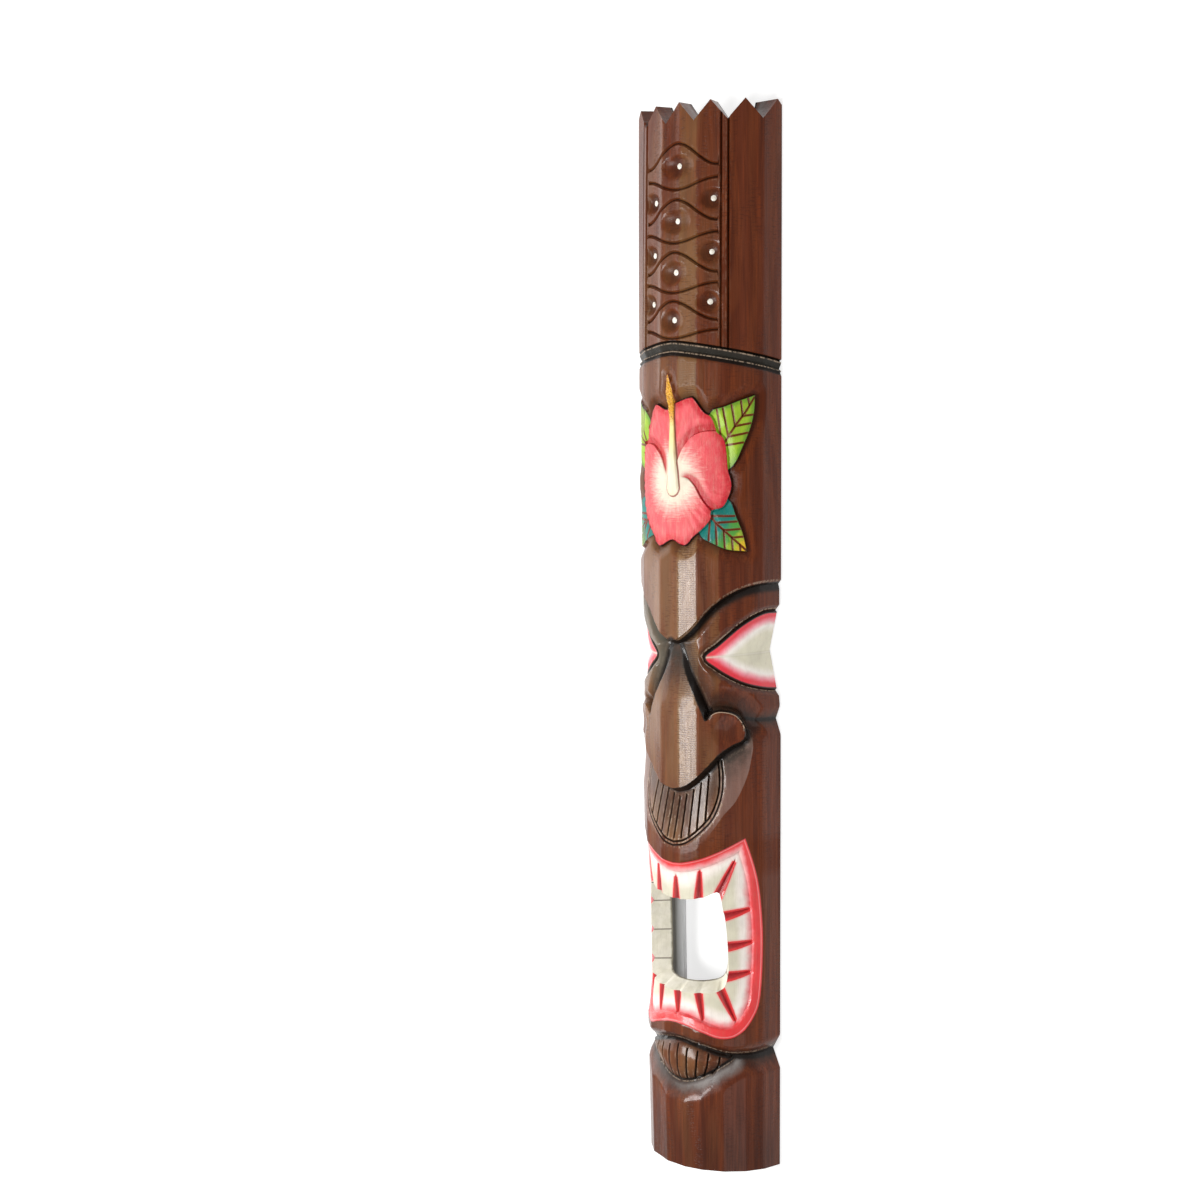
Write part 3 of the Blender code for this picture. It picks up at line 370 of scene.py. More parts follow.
@dataclass
class Marks:
    """What the carving leaves at each sheet point."""

    depth: Values
    line: Values
    wear_and_highlight: Values

    @classmethod
    def clean(cls, count: int) -> "Marks":
        """Marks of a surface that nothing has cut yet."""
        return cls(np.zeros(count), np.zeros(count), np.zeros(count))

    def groove(self, groove: Groove, points: Points, where: Values | float = 1.0,
               line: float = 1.0, wear_and_highlight: float = 1.0) -> None:
        """Add one groove to the marks.

        Args:
            groove: The groove.
            points: Sheet points.
            where: Weight that limits the groove to a part of the sheet.
            line: How dark the stain sits in it.
            wear_and_highlight: How light its edges are.
        """
        depth, into, edge = groove.measure(points)
        self.depth = self.depth + depth * where
        self.line = np.maximum(self.line, into * line * where)
        self.wear_and_highlight = np.maximum(self.wear_and_highlight, edge * wear_and_highlight * where)


@dataclass
class CrownCarving:
    """Spiked crown with its ruled panel, wave lines and thumb gouges."""

    spikes: int = 7
    notch: float = 0.018
    panel_middle: float = 0.005
    panel_half_width: float = 0.047
    line_gap: float = 0.007
    line_width: float = 0.0032
    line_depth: float = 0.0022
    rows: int = 4
    wave_width: float = 0.0038
    wave_depth: float = 0.0024
    wave_rise: float = 0.021
    gouge_length: float = 0.039
    gouge_height: float = 0.0225
    gouge_depth: float = 0.0046
    side_right: float = 0.0388
    side_left: float = 0.0365
    lean: float = 0.0016

    def row_height(self, row: int) -> float:
        """Height of the middle of one row of gouges."""
        return (0.9420 - 0.0515 * row + 0.0016 * row * row) * LENGTH

    def wave(self, row: int, upper: bool, s: Values) -> Values:
        """Height of a wave line over or under one row of gouges."""
        inner = self.panel_half_width - self.line_width
        lean = -self.lean * row
        away = s - self.panel_middle
        part = np.where(away > lean, (away - lean) / (inner - lean),
                        (away - lean) / (inner + lean))
        swing = 0.5 + 0.5 * np.cos(np.pi * np.clip(part, -1.0, 1.0))
        middle = self.row_height(row)
        if upper:
            return middle + self.wave_rise * (1.0 - 0.05 * row) * swing
        return middle - self.wave_rise * (0.55 + 0.45 * swing) * (1.0 - 0.07 * row)

    def gouges(self) -> list[tuple[Points, float, float]]:
        """Middle and half sizes of each scooped oval on the panel."""
        found = []
        for row in range(self.rows):
            size = 1.0 - 0.10 * row
            middle = np.array([self.panel_middle - self.lean * row, self.row_height(row)])
            found.append((middle, self.gouge_length / 2 * size, self.gouge_height / 2))
        for row in range(self.rows - 1):
            height = 0.5 * (self.row_height(row) + self.row_height(row + 1)) - 0.006
            for out in (-self.side_left, self.side_right):
                middle = np.array([self.panel_middle + out - self.lean * row, height])
                found.append((middle, self.gouge_length * 0.34, self.gouge_height * 0.45))
        return found

    def grooves(self) -> list[Groove]:
        """Double lines at the panel's sides and the waves between them."""
        found = []
        for side in (-1.0, 1.0):
            for out in (self.panel_half_width, self.panel_half_width + self.line_gap):
                place = self.panel_middle + side * out
                foot = BAND.top(np.array([place]))[0]
                line = resample(np.array([[place, foot], [place, 1.02 * LENGTH]]), 0.02)
                found.append(Groove(line, self.line_width, self.line_depth))
        inner = self.panel_half_width - self.line_width
        across = self.panel_middle + np.linspace(-inner, inner, 31)
        for row in range(self.rows):
            for upper in (True, False):
                path = np.column_stack([across, self.wave(row, upper, across)])
                found.append(Groove(path, self.wave_width, self.wave_depth))
        return found

    def edge(self) -> Points:
        """Top edge of the sheet from right to left, with its cut spikes."""
        pitch = 2.0 * HALF_GIRTH / (self.spikes - 0.31)
        tip = HALF_GIRTH - 0.15 * pitch
        points = [(HALF_GIRTH, LENGTH - self.notch * 0.30)]
        for k in range(self.spikes):
            points.append((tip - k * pitch, LENGTH))
            points.append((tip - (k + 0.5) * pitch, LENGTH - self.notch))
        points = [point for point in points if point[0] > -HALF_GIRTH + 1e-4]
        points.append((-HALF_GIRTH, LENGTH - self.notch))
        return np.array(points)

    def carve(self, points: Points) -> Marks:
        """Marks of the crown's lines and gouges."""
        marks = Marks.clean(len(points))
        above = (points[:, 1] > BAND.top(points[:, 0])).astype(float)
        # The grooves are darkened inside as painted shade, and lightened along their edges,
        # partly rubbed and partly painted highlight.
        for groove in self.grooves():
            depth, into, edge = groove.measure(points)
            marks.depth = np.maximum(marks.depth, depth * above)
            marks.line = np.maximum(marks.line, into ** 1.4 * above * 0.52)
            marks.wear_and_highlight = np.maximum(marks.wear_and_highlight, edge * above * 0.35)
        away = np.abs(points[:, 0] - self.panel_middle)
        room = unit((self.panel_half_width - away) / self.line_width)
        for middle, wide, high in self.gouges():
            offset = (points - middle) / np.array([wide, high])
            bowl = unit(1.0 - np.sum(offset ** 2, axis=1)) ** 0.85
            marks.depth = np.maximum(marks.depth, self.gouge_depth * bowl * room)
            # Painted shade in the upper part of each gouge, under its top edge.
            upper = unit(0.15 + offset[:, 1]) * unit(bowl * 3.0)
            marks.line = np.maximum(marks.line, 0.26 * upper * (bowl > 0.0) * room)
        return marks

    def lines(self) -> list[Points]:
        """Lines that the faces follow."""
        found = [line for groove in self.grooves() for line in groove.lines()]
        for middle, wide, high in self.gouges():
            for size, count in ((1.0, 24), (0.6, 14)):
                turn = np.linspace(0.0, 2 * math.pi, count + 1)
                ring = np.column_stack([wide * np.cos(turn), high * np.sin(turn)])
                found.append(middle + size * ring)
        return found


@dataclass
class BandCarving:
    """Corded band that parts the crown from the forehead."""

    width: float = 0.0095
    depth: float = 0.0026
    height: float = 0.7830
    drop: float = 0.0195

    def top(self, s: Values) -> Values:
        """Height of the band's upper edge at each distance round."""
        return self.height * LENGTH - self.drop * (np.abs(s) / HALF_GIRTH) ** 1.3

    def profile(self) -> tuple[Values, Values]:
        """Distances below the upper edge and the depth at each."""
        marks = np.array([-0.15, 0.0, 0.17, 0.45, 0.78, 0.98, 1.16, 1.50]) * self.width
        depths = np.array([0.0, 0.9, 0.1, 0.55, 1.1, 0.15, 0.6, 0.0]) * self.depth
        return marks, depths

    def below(self, points: Points) -> Values:
        """Distance below the band's upper edge."""
        return self.top(points[:, 0]) - points[:, 1]

    def carve(self, points: Points) -> Marks:
        """Marks of the band."""
        below = self.below(points)
        marks = Marks.clean(len(points))
        marks.depth = np.interp(below, *self.profile())
        w = self.width
        # Dark lines in the band's two grooves: partly stain, partly painted shade.
        dark = ridge(below, -0.02 * w, 0.14 * w) + ridge(below, 1.20 * w, 0.22 * w)
        marks.line = unit(dark * 1.4)
        # Light lines on the band's two ridges: partly rubbed paint, partly painted highlight.
        worn_and_lit = ridge(below, 0.17 * w, 0.12 * w) + ridge(below, 0.98 * w, 0.12 * w)
        marks.wear_and_highlight = unit(worn_and_lit)
        return marks

    def lines(self) -> list[Points]:
        """Lines that the faces follow."""
        across = np.linspace(-HALF_GIRTH * 1.02, HALF_GIRTH * 1.02, 61)
        return [np.column_stack([across, self.top(across) - mark])
                for mark in self.profile()[0]]


@dataclass
class FlowerCarving:
    """Flower on the forehead, with its pistil and four leaves."""

    sink: float = 0.0028
    heart_depth: float = 0.0014
    petal_step: float = 0.0024
    petal_fade: float = 0.0120
    cut: float = 0.0054
    halo: float = 0.012
    edge: float = 0.0014
    pistil_foot: float = 0.0160
    pistil_neck: float = 0.0062
    pistil_head: float = 0.0090
    pistil_rise: float = 0.0030
    pistil_cut: float = 0.0030
    leaf_sink: float = 0.0014
    leaf_cut: float = 0.0042
    leaf_halo: float = 0.0115
    vein_pairs: int = 5
    vein_width: float = 0.0020
    vein_depth: float = 0.0010
    heart: Points = field(default_factory=lambda: at(0.0, 0.655))

    def __post_init__(self) -> None:
        """Draw the outlines on the sheet."""
        fine = 0.0030
        outline = curve([
            (-0.223, 0.7246), (-0.072, 0.7200), (0.028, 0.7260), (0.169, 0.7308),
            (0.215, 0.7295), (0.302, 0.7176), (0.366, 0.7135), (0.405, 0.7041),
            (0.415, 0.6994), (0.476, 0.6935), (0.501, 0.6812), (0.513, 0.6651),
            (0.543, 0.6503), (0.512, 0.6382), (0.464, 0.6301), (0.370, 0.6270),
            (0.366, 0.6194), (0.290, 0.6099), (0.212, 0.6030), (0.143, 0.5953),
            (0.085, 0.5955), (-0.009, 0.5996), (-0.166, 0.5933), (-0.246, 0.6026),
            (-0.360, 0.6150), (-0.440, 0.6293), (-0.480, 0.6561), (-0.460, 0.6850),
            (-0.380, 0.6950), (-0.320, 0.7080)], fine, closed=True)
        self.flower = Region(np.vstack([outline, outline[:1]]))
        petals = (
            (curve([(0.035, 0.6691), (0.096, 0.6827), (0.181, 0.6935), (0.275, 0.6988),
                    (0.402, 0.6999), (0.440, 0.6985)], fine), [at(0.45, 0.76), at(0.0, 0.76)]),
            (curve([(0.040, 0.6569), (0.140, 0.6564), (0.209, 0.6503), (0.276, 0.6382),
                    (0.365, 0.6265), (0.400, 0.6230)], fine),
             [at(0.62, 0.63), at(0.62, 0.675), at(0.04, 0.675)]),
            (curve([(-0.085, 0.6581), (-0.112, 0.6662), (-0.162, 0.6784),
                    (-0.254, 0.6866), (-0.360, 0.6880), (-0.470, 0.6850)], fine),
             [at(-0.50, 0.75), at(0.0, 0.75), at(0.0, 0.66)]))
        self.under = [Region(path, closing) for path, closing in petals]
        self.pistil = curve([(0.002, 0.6480), (0.001, 0.6854), (0.003, 0.7098),
                             (-0.021, 0.7328), (-0.044, 0.7518)], fine)
        upper = np.vstack([
            curve([(0.330, 0.6900), (0.354, 0.7162), (0.489, 0.7227), (0.609, 0.7279),
                   (0.742, 0.7326)]),
            curve([(0.742, 0.7326), (0.734, 0.7170), (0.696, 0.7010), (0.634, 0.6850),
                   (0.585, 0.6730), (0.525, 0.6650), (0.420, 0.6600)])[1:]])
        lower = np.vstack([
            curve([(0.400, 0.6420), (0.506, 0.6382), (0.542, 0.6341), (0.585, 0.6206),
                   (0.633, 0.6070), (0.672, 0.5892)]),
            curve([(0.672, 0.5892), (0.512, 0.5910), (0.391, 0.5964), (0.266, 0.6044),
                   (0.260, 0.6150)])[1:]])
        upper_rib = curve([(0.440, 0.6830), (0.489, 0.6906), (0.585, 0.7065),
                           (0.658, 0.7171), (0.735, 0.7305)])
        lower_rib = curve([(0.330, 0.6250), (0.379, 0.6194), (0.512, 0.6058), (0.664, 0.5905)])
        right = [(upper, upper_rib), (lower, lower_rib)]
        left = [(mirrored(edge), mirrored(rib)) for edge, rib in right]
        self.leaves = [(Region(edge), rib) for edge, rib in right + left]
        self.veins = [self.leaf_veins(region, rib) for region, rib in self.leaves]

    def leaf_veins(self, region: Region, rib: Points) -> list[Groove]:
        """Cut the midrib and side veins of one leaf, as far as its edge.

        Args:
            region: The leaf on the sheet.
            rib: Its midrib.

        Returns:
            One groove for each vein.
        """
        veins = [Groove(rib, self.vein_width, self.vein_depth)]
        length = np.hypot(*np.diff(rib, axis=0).T).sum()
        path = resample(rib, length / 40.0)
        for k in range(self.vein_pairs):
            place = int(3 + 31 * k / max(self.vein_pairs - 1, 1))
            start = path[place]
            along = path[place + 2] - path[place - 2]
            along = along / np.hypot(*along)
            across = np.array([-along[1], along[0]])
            for side in (-1.0, 1.0):
                slant = (along + side * across) / math.sqrt(2.0)
                steps = start + np.outer(np.arange(0.0, 0.05, 0.0005), slant)
                free = region.signed(steps) < -0.0014
                reach = int(np.argmin(free)) if not free.all() else len(free) - 1
                if reach > 8:
                    line = resample(np.array([start, steps[reach]]), 0.004)
                    veins.append(Groove(line, self.vein_width, self.vein_depth))
        return veins

    def pistil_half(self, share: Values) -> Values:
        """Half width of the pistil along its path, from foot to tip."""
        marks = [0.0, 0.30, 0.62, 0.72, 0.86, 1.0]
        widths = [self.pistil_foot, self.pistil_foot * 0.55, self.pistil_neck,
                  self.pistil_head, self.pistil_head, self.pistil_neck * 0.35]
        return 0.5 * np.interp(share, marks, widths)

    def petals(self, points: Points) -> tuple[Values, Values]:
        """Depth of the petals, and the shade where one lies under the next."""
        edge = -self.flower.signed(points)
        offset = points - self.heart
        reach = np.hypot(*offset.T)
        turn = np.arctan2(offset[:, 1], offset[:, 0])
        depth = self.sink + self.heart_depth * unit(1.0 - reach / 0.045)
        furrow = 0.00022 * np.sin(turn * 46.0 + 3.0 * np.sin(turn * 3.0))
        depth = depth + furrow * unit((reach - 0.02) / 0.02)
        depth = depth + 0.0006 * unit(1.0 - edge / 0.004)
        shade = np.zeros(len(points))
        for under in self.under:
            away = -under.signed(points)
            fade = unit(1.0 - away / self.petal_fade)
            fade = fade * unit(away / 0.0010)
            free = unit((reach - 0.008) / 0.02)
            depth = depth + self.petal_step * fade * free
            shade = np.maximum(shade, np.where(away > 0.0, fade ** 2 * free, 0.0))
        return depth, shade

    def carve(self, points: Points) -> Marks:
        """Marks of the flower, its leaves and the ground cut back round them."""
        marks = Marks.clean(len(points))
        flower = self.flower.signed(points)
        open_ground = flower > 0.0
        for (leaf, _), veins in zip(self.leaves, self.veins):
            edge = leaf.signed(points)
            steps = [0.0, self.edge, self.leaf_halo]
            halo = np.interp(edge, steps, [self.leaf_sink, self.leaf_cut, 0.0])
            outside = (edge > 0.0) & open_ground
            marks.depth = np.where(outside, np.maximum(marks.depth, halo), marks.depth)
            dark = 0.8 * ridge(edge, 0.0004, 0.0009)
            marks.line = np.maximum(marks.line, dark * open_ground)
        for (leaf, _), veins in zip(self.leaves, self.veins):
            inside = (leaf.signed(points) <= 0.0) & open_ground
            marks.depth = np.where(inside, self.leaf_sink, marks.depth)
            for vein in veins:
                depth, _, _ = vein.measure(points)
                marks.depth = marks.depth + depth * inside
        steps = [0.0, self.edge, self.halo]
        halo = np.interp(flower, steps, [self.sink, self.cut, 0.0])
        petals, _ = self.petals(points)
        marks.depth = np.where(flower > 0.0, np.maximum(marks.depth, halo), petals)
        marks.line = np.maximum(marks.line, ridge(flower, 0.0004, 0.0012))
        distance, share = path_distance(points, self.pistil, 0.02)
        half = self.pistil_half(share)
        steps = [0.0, self.edge, 0.007]
        halo = np.interp(distance - half, steps, [self.pistil_cut * 0.8, self.pistil_cut, 0.0])
        above = unit((points[:, 1] / LENGTH - 0.700) / 0.02)
        marks.depth = np.where(distance > half, np.maximum(marks.depth, halo * above),
                               marks.depth)
        crest = np.sqrt(unit(1.0 - (distance / half) ** 2))
        marks.depth = np.maximum(marks.depth - self.pistil_rise * crest, 0.0)
        return marks

    def lines(self) -> list[Points]:
        """Lines that the faces follow."""
        outline = self.flower.border
        found = [outline, shifted(outline, -self.edge), shifted(outline, 0.0015)]
        found.append(resample(shifted(outline, self.halo), 0.008))
        for petal, side in zip(self.under, (1.0, 1.0, -1.0)):
            found += [shifted(petal.border, side * gap) for gap in (0.0, 0.0011)]
        half = self.pistil_half(np.linspace(0.0, 1.0, len(self.pistil)))[:, None]
        side = shifted(self.pistil, 1.0) - self.pistil
        for k in (-1.0, -0.6, 0.0, 0.6, 1.0):
            found.append(self.pistil + side * half * k)
        for leaf, _ in self.leaves:
            found += [leaf.border, shifted(leaf.border, self.edge)]
        for veins in self.veins:
            found += [line for vein in veins for line in vein.lines()]
        return found


@dataclass
class FaceCarving:
    """Brow, eyes, lids, nose, cheeks and moustache."""

    brow_depth: float = 0.0095
    brow_wall: float = 0.0040
    brow_rise: float = 0.0100
    face_sink: float = 0.0020
    rim_width: float = 0.0070
    rim_depth: float = 0.0045
    eye_depth: float = 0.0030
    eye_slope: float = 0.24
    eye_slope_left: float = 0.04
    eye_shift_left: float = 0.0090
    lid_depth: float = 0.0058
    lid_depth_left: float = 0.0032
    lid_reach: float = 0.0150
    nose_wall: float = 0.0045
    nose_valley: float = 0.0095
    nose_reach: float = 0.024
    nose_reach_left: float = 0.012
    nose_ease_left: float = 0.70
    nostril_radius: float = 0.0145
    nostril_depth: float = 0.0036
    scoop: float = 0.0105
    moustache_grooves: int = 9
    groove_width: float = 0.0026
    groove_depth: float = 0.0016

    def __post_init__(self) -> None:
        """Draw the paths of one half of the face on the sheet."""
        self.brow_path = curve([
            (0.0, 0.5055), (0.070, 0.5078), (0.192, 0.5183), (0.365, 0.5393),
            (0.569, 0.5541), (0.782, 0.5607), (1.02, 0.5615)])
        self.eye_path = curve([
            (1.02, 0.5310), (0.84, 0.5305), (0.640, 0.5205), (0.430, 0.5020),
            (0.305, 0.4905), (0.411, 0.4805), (0.545, 0.4719), (0.683, 0.4655),
            (0.86, 0.4610), (1.02, 0.4590)])
        self.crease = curve([(0.305, 0.4905), (0.60, 0.4925), (1.02, 0.4935)])
        self.lid_path = curve([
            (1.02, 0.4308), (0.850, 0.4312), (0.760, 0.4318), (0.680, 0.4330)])
        self.nose_path = curve([
            (0.0, 0.5035), (0.045, 0.4990), (0.100, 0.4815), (0.150, 0.4690),
            (0.205, 0.4577), (0.285, 0.4400), (0.322, 0.4310), (0.374, 0.4380),
            (0.449, 0.4408), (0.562, 0.4380), (0.628, 0.4303), (0.655, 0.4216),
            (0.635, 0.4142), (0.533, 0.4085), (0.429, 0.4000), (0.333, 0.3886),
            (0.233, 0.3775), (0.120, 0.3688), (0.0, 0.3655)], 0.0030)
        self.nostril = at(0.505, 0.4215)
        self.scoop_path = curve([
            (0.700, 0.4250), (0.724, 0.4093), (0.706, 0.3951), (0.668, 0.3790),
            (0.576, 0.3569), (0.467, 0.3427), (0.376, 0.3281), (0.250, 0.3120),
            (0.120, 0.3060), (0.0, 0.3045)])
        self.moustache = curve([
            (0.0, 0.3145), (0.110, 0.3175), (0.226, 0.3265), (0.350, 0.3410),
            (0.420, 0.3600), (0.435, 0.3775), (0.420, 0.3930)], 0.0030)
        self.below_brow = Region(self.brow_path, [at(1.02, 0.0), at(0.0, 0.0)])
        self.eye = Region(self.eye_path)
        self.nose = Region(self.nose_path)
        self.scooped = Region(self.scoop_path, [at(0.0, 0.46), at(0.70, 0.46)])
        self.plume = Region(self.moustache, [at(0.30, 0.44), at(0.0, 0.44)])

    def fan(self) -> list[Groove]:
        """Border lines of the moustache and the grooves that fan out in it."""
        border = both_sides(self.moustache)
        gap = self.groove_width * 1.3
        found = [Groove(border, self.groove_width, self.groove_depth),
                 Groove(shifted(border, -gap), self.groove_width, self.groove_depth * 0.7)]
        for k in range(self.moustache_grooves):
            spread = 2.0 * (k + 0.5) / self.moustache_grooves - 1.0
            top = at(0.03 + 0.34 * spread, 0.3560 + 0.0270 * abs(spread) ** 1.4)
            foot = at(0.35 * spread, 0.3180 + 0.0250 * abs(spread) ** 2.2)
            path = resample(np.array([top, foot]), 0.006)
            found.append(Groove(path, self.groove_width, self.groove_depth))
        return found

    def eye_place(self, points: Points) -> Points:
        """Points as the eye sees them; the left eye sits nearer to the nose."""
        side = np.abs(points[:, 0])
        moved = np.minimum(side + self.eye_shift_left, HALF_GIRTH)
        return np.column_stack([np.where(points[:, 0] < 0.0, moved, side), points[:, 1]])

    def measure(self, points: Points, folded: Points) -> dict[str, Values]:
        """Measure the distances that the carving and the stain both need.

        Args:
            points: Sheet points.
            folded: The same points folded over to one half.

        Returns:
            Distances from the paths, positive below the brow and outside the
            eye and the nose.
        """
        eye_points = self.eye_place(points)
        return {
            "brow": -self.below_brow.signed(folded), "eye": self.eye.signed(eye_points),
            "nose": self.nose.signed(folded), "scoop": -self.scooped.signed(folded),
            "lid": path_distance(folded, self.lid_path, self.lid_reach * 1.2)[0],
            "crease": path_distance(eye_points, self.crease, 0.02)[0],
            "plume": self.plume.signed(folded)}

    def carve(self, points: Points, folded: Points, gaps: dict) -> Marks:
        """Marks of the face.

        Args:
            points: Sheet points.
            folded: The same points folded over to one half.
            gaps: The distances from measure.

        Returns:
            Depth, stained lines and light edges, partly rubbed and partly painted highlight.
        """
        side = folded[:, 0] / HALF_GIRTH
        share = folded[:, 1] / LENGTH
        brow, eye, nose = gaps["brow"], gaps["eye"], gaps["nose"]
        scoop, lid = gaps["scoop"], gaps["lid"]
        left = points[:, 0] < 0.0
        fade = 1.0 - 0.65 * unit(side)
        under = unit(brow / self.brow_wall)

        depth = self.face_sink * under * unit((share - 0.432) / 0.02)
        steps = [0.0, self.brow_wall, self.brow_wall + self.brow_rise]
        groove = self.brow_depth * fade * np.interp(brow, steps, [0.0, 1.0, 0.0])
        depth = np.maximum(depth, groove)
        lid_depth = np.where(left, self.lid_depth_left, self.lid_depth)
        depth = np.maximum(depth, lid_depth * unit(1.0 - lid / self.lid_reach))

        rim = np.interp(eye, [0.0, self.rim_width * 0.25, self.rim_width],
                        [self.eye_depth, self.rim_depth, 0.0])
        slope = np.where(left, self.eye_slope_left, self.eye_slope)
        socket = self.eye_depth + slope * np.maximum(-eye, 0.0)
        eye_cut = self.face_sink + np.where(eye < 0.0, socket, rim)
        depth = np.where(eye < self.rim_width, np.maximum(depth, eye_cut), depth)

        wall = unit(nose / self.nose_wall)
        far = np.where(left, self.nose_reach_left, self.nose_reach)
        reach = unit(1.0 - (nose - self.nose_wall) / far)
        beside = unit((share - 0.408) / 0.015)
        root = self.nose_valley * np.interp(share, [0.440, 0.498], [0.0, 1.0]) * under
        ease = np.where(left, self.nose_ease_left * unit((side - 0.36) / 0.12), 0)
        cut = (root + (self.nose_valley - root) * wall) * reach * beside * under
        below = unit((0.4240 - share) / 0.014)
        inner = np.maximum(scoop, 0.0)
        ramp = inner / (inner + np.maximum(nose, 1e-5))
        scooped = np.where((scoop > 0.0) & (nose > 0.0), self.scoop * wall * ramp, 0.0)
        depth = np.maximum(depth, np.maximum(cut * (1.0 - ease), scooped * below))
        away = np.hypot(*(folded - self.nostril).T) / self.nostril_radius
        pit = self.nostril_depth * unit(1.0 - away ** 2)
        depth = np.where(nose <= 0.0, np.maximum(root, pit), depth)
        marks = Marks(depth, np.zeros(len(points)), np.zeros(len(points)))
        off_nose = (nose > 0.0).astype(float)
        for groove_cut in self.fan():
            marks.groove(groove_cut, points, off_nose, wear_and_highlight=0.85)
        return marks

    def lines_from(self, points: Points, folded: Points, gaps: dict) -> dict[str, Values]:
        """Measure the black lines of the face, each as -1 to 1 across its width.

        Args:
            points: Sheet points.
            folded: The same points folded over to one half.
            gaps: The distances from measure.

        Returns:
            One value a point for each kind of line.
        """
        side = folded[:, 0] / HALF_GIRTH
        share = folded[:, 1] / LENGTH
        bridge = np.interp(share, [0.365, 0.385, 0.410, 0.430, 0.455, 0.475, 0.500],
                           [2.2, 3.1, 2.9, 2.5, 3.0, 2.9, 2.3])
        arc = unit((side - 0.35) / 0.04) * unit((share - 0.421) / 0.006)
        half = bridge + (0.7 - bridge) * arc
        nose = (gaps["nose"] * 1000.0 - half * 0.9) / half
        plane = np.minimum.reduce([gaps["scoop"], gaps["nose"], gaps["plume"],
                                   0.424 - folded[:, 1]])
        left = points[:, 0] < 0.0
        brow = 1.3 + np.where(left, 0.4, 3.2) * np.clip(side, 0.0, 0.75)
        rim = np.where(left | (share < 0.4905), 0.9, 1.5)
        return {
            "brow_line": (gaps["brow"] * 1000.0 - 1.6 - brow) / brow,
            "nose_line": np.where(left & (side > 0.33), 9.0, nose), "nostril_arc": arc,
            "eye_line": (gaps["eye"] * 1000.0 - 1.2) / rim, "lid_line": gaps["lid"] * 1000.0,
            "scoop_in": plane * 1000.0}

    def wash_and_shade(self, points: Points, gaps: dict) -> Values:
        """How dark the valleys of the face are made: partly a dark stain, partly painted shade
        beside and under the nose, at its root, under the brow and along the lid.
        """
        share = points[:, 1] / LENGTH
        clean = np.where(points[:, 0] < -0.30 * HALF_GIRTH, 0.4, 1.0)
        off_nose = (gaps["nose"] > 0.0) * (gaps["brow"] > 0.0)
        beside = fall(gaps["nose"], 0.021) * off_nose * (share > 0.405)
        low = unit((0.425 - share) / 0.02)
        under = unit(1.35 - gaps["nose"] / 0.026) * (gaps["scoop"] > 0.0)
        under = under * off_nose * low * (gaps["plume"] > 0.0)
        under = under * np.clip((share - 0.335) / 0.055, 0.25, 0.85)
        root = unit((share - 0.462) / 0.035) * (gaps["nose"] <= 0.0)
        brow = fall(gaps["brow"] - 0.006, 0.012) * (gaps["brow"] > 0.0)
        lid = fall(gaps["lid"], 0.013)
        return clean * np.maximum.reduce([beside, under, root * 0.9, brow * 0.75, lid * 0.8])

    def lines(self) -> list[Points]:
        """Lines that the faces follow."""
        found = [line for groove in self.fan() for line in groove.lines()]
        brow = both_sides(self.brow_path)
        for distance in (0.0, -self.brow_wall, -self.brow_wall - self.brow_rise):
            found.append(shifted(brow, distance))
        nose = both_sides(self.nose_path)
        found += [nose, shifted(nose, self.nose_wall * 0.5), shifted(nose, self.nose_wall)]
        for half in (self.scoop_path, self.lid_path):
            found += [half, mirrored(half)]
        rims = [shifted(self.eye_path, -gap)
                for gap in (0.0, self.rim_width * 0.25, self.rim_width)]
        for half in rims + [self.crease]:
            found += [half, mirrored(half) + np.array([self.eye_shift_left, 0.0])]
        return found


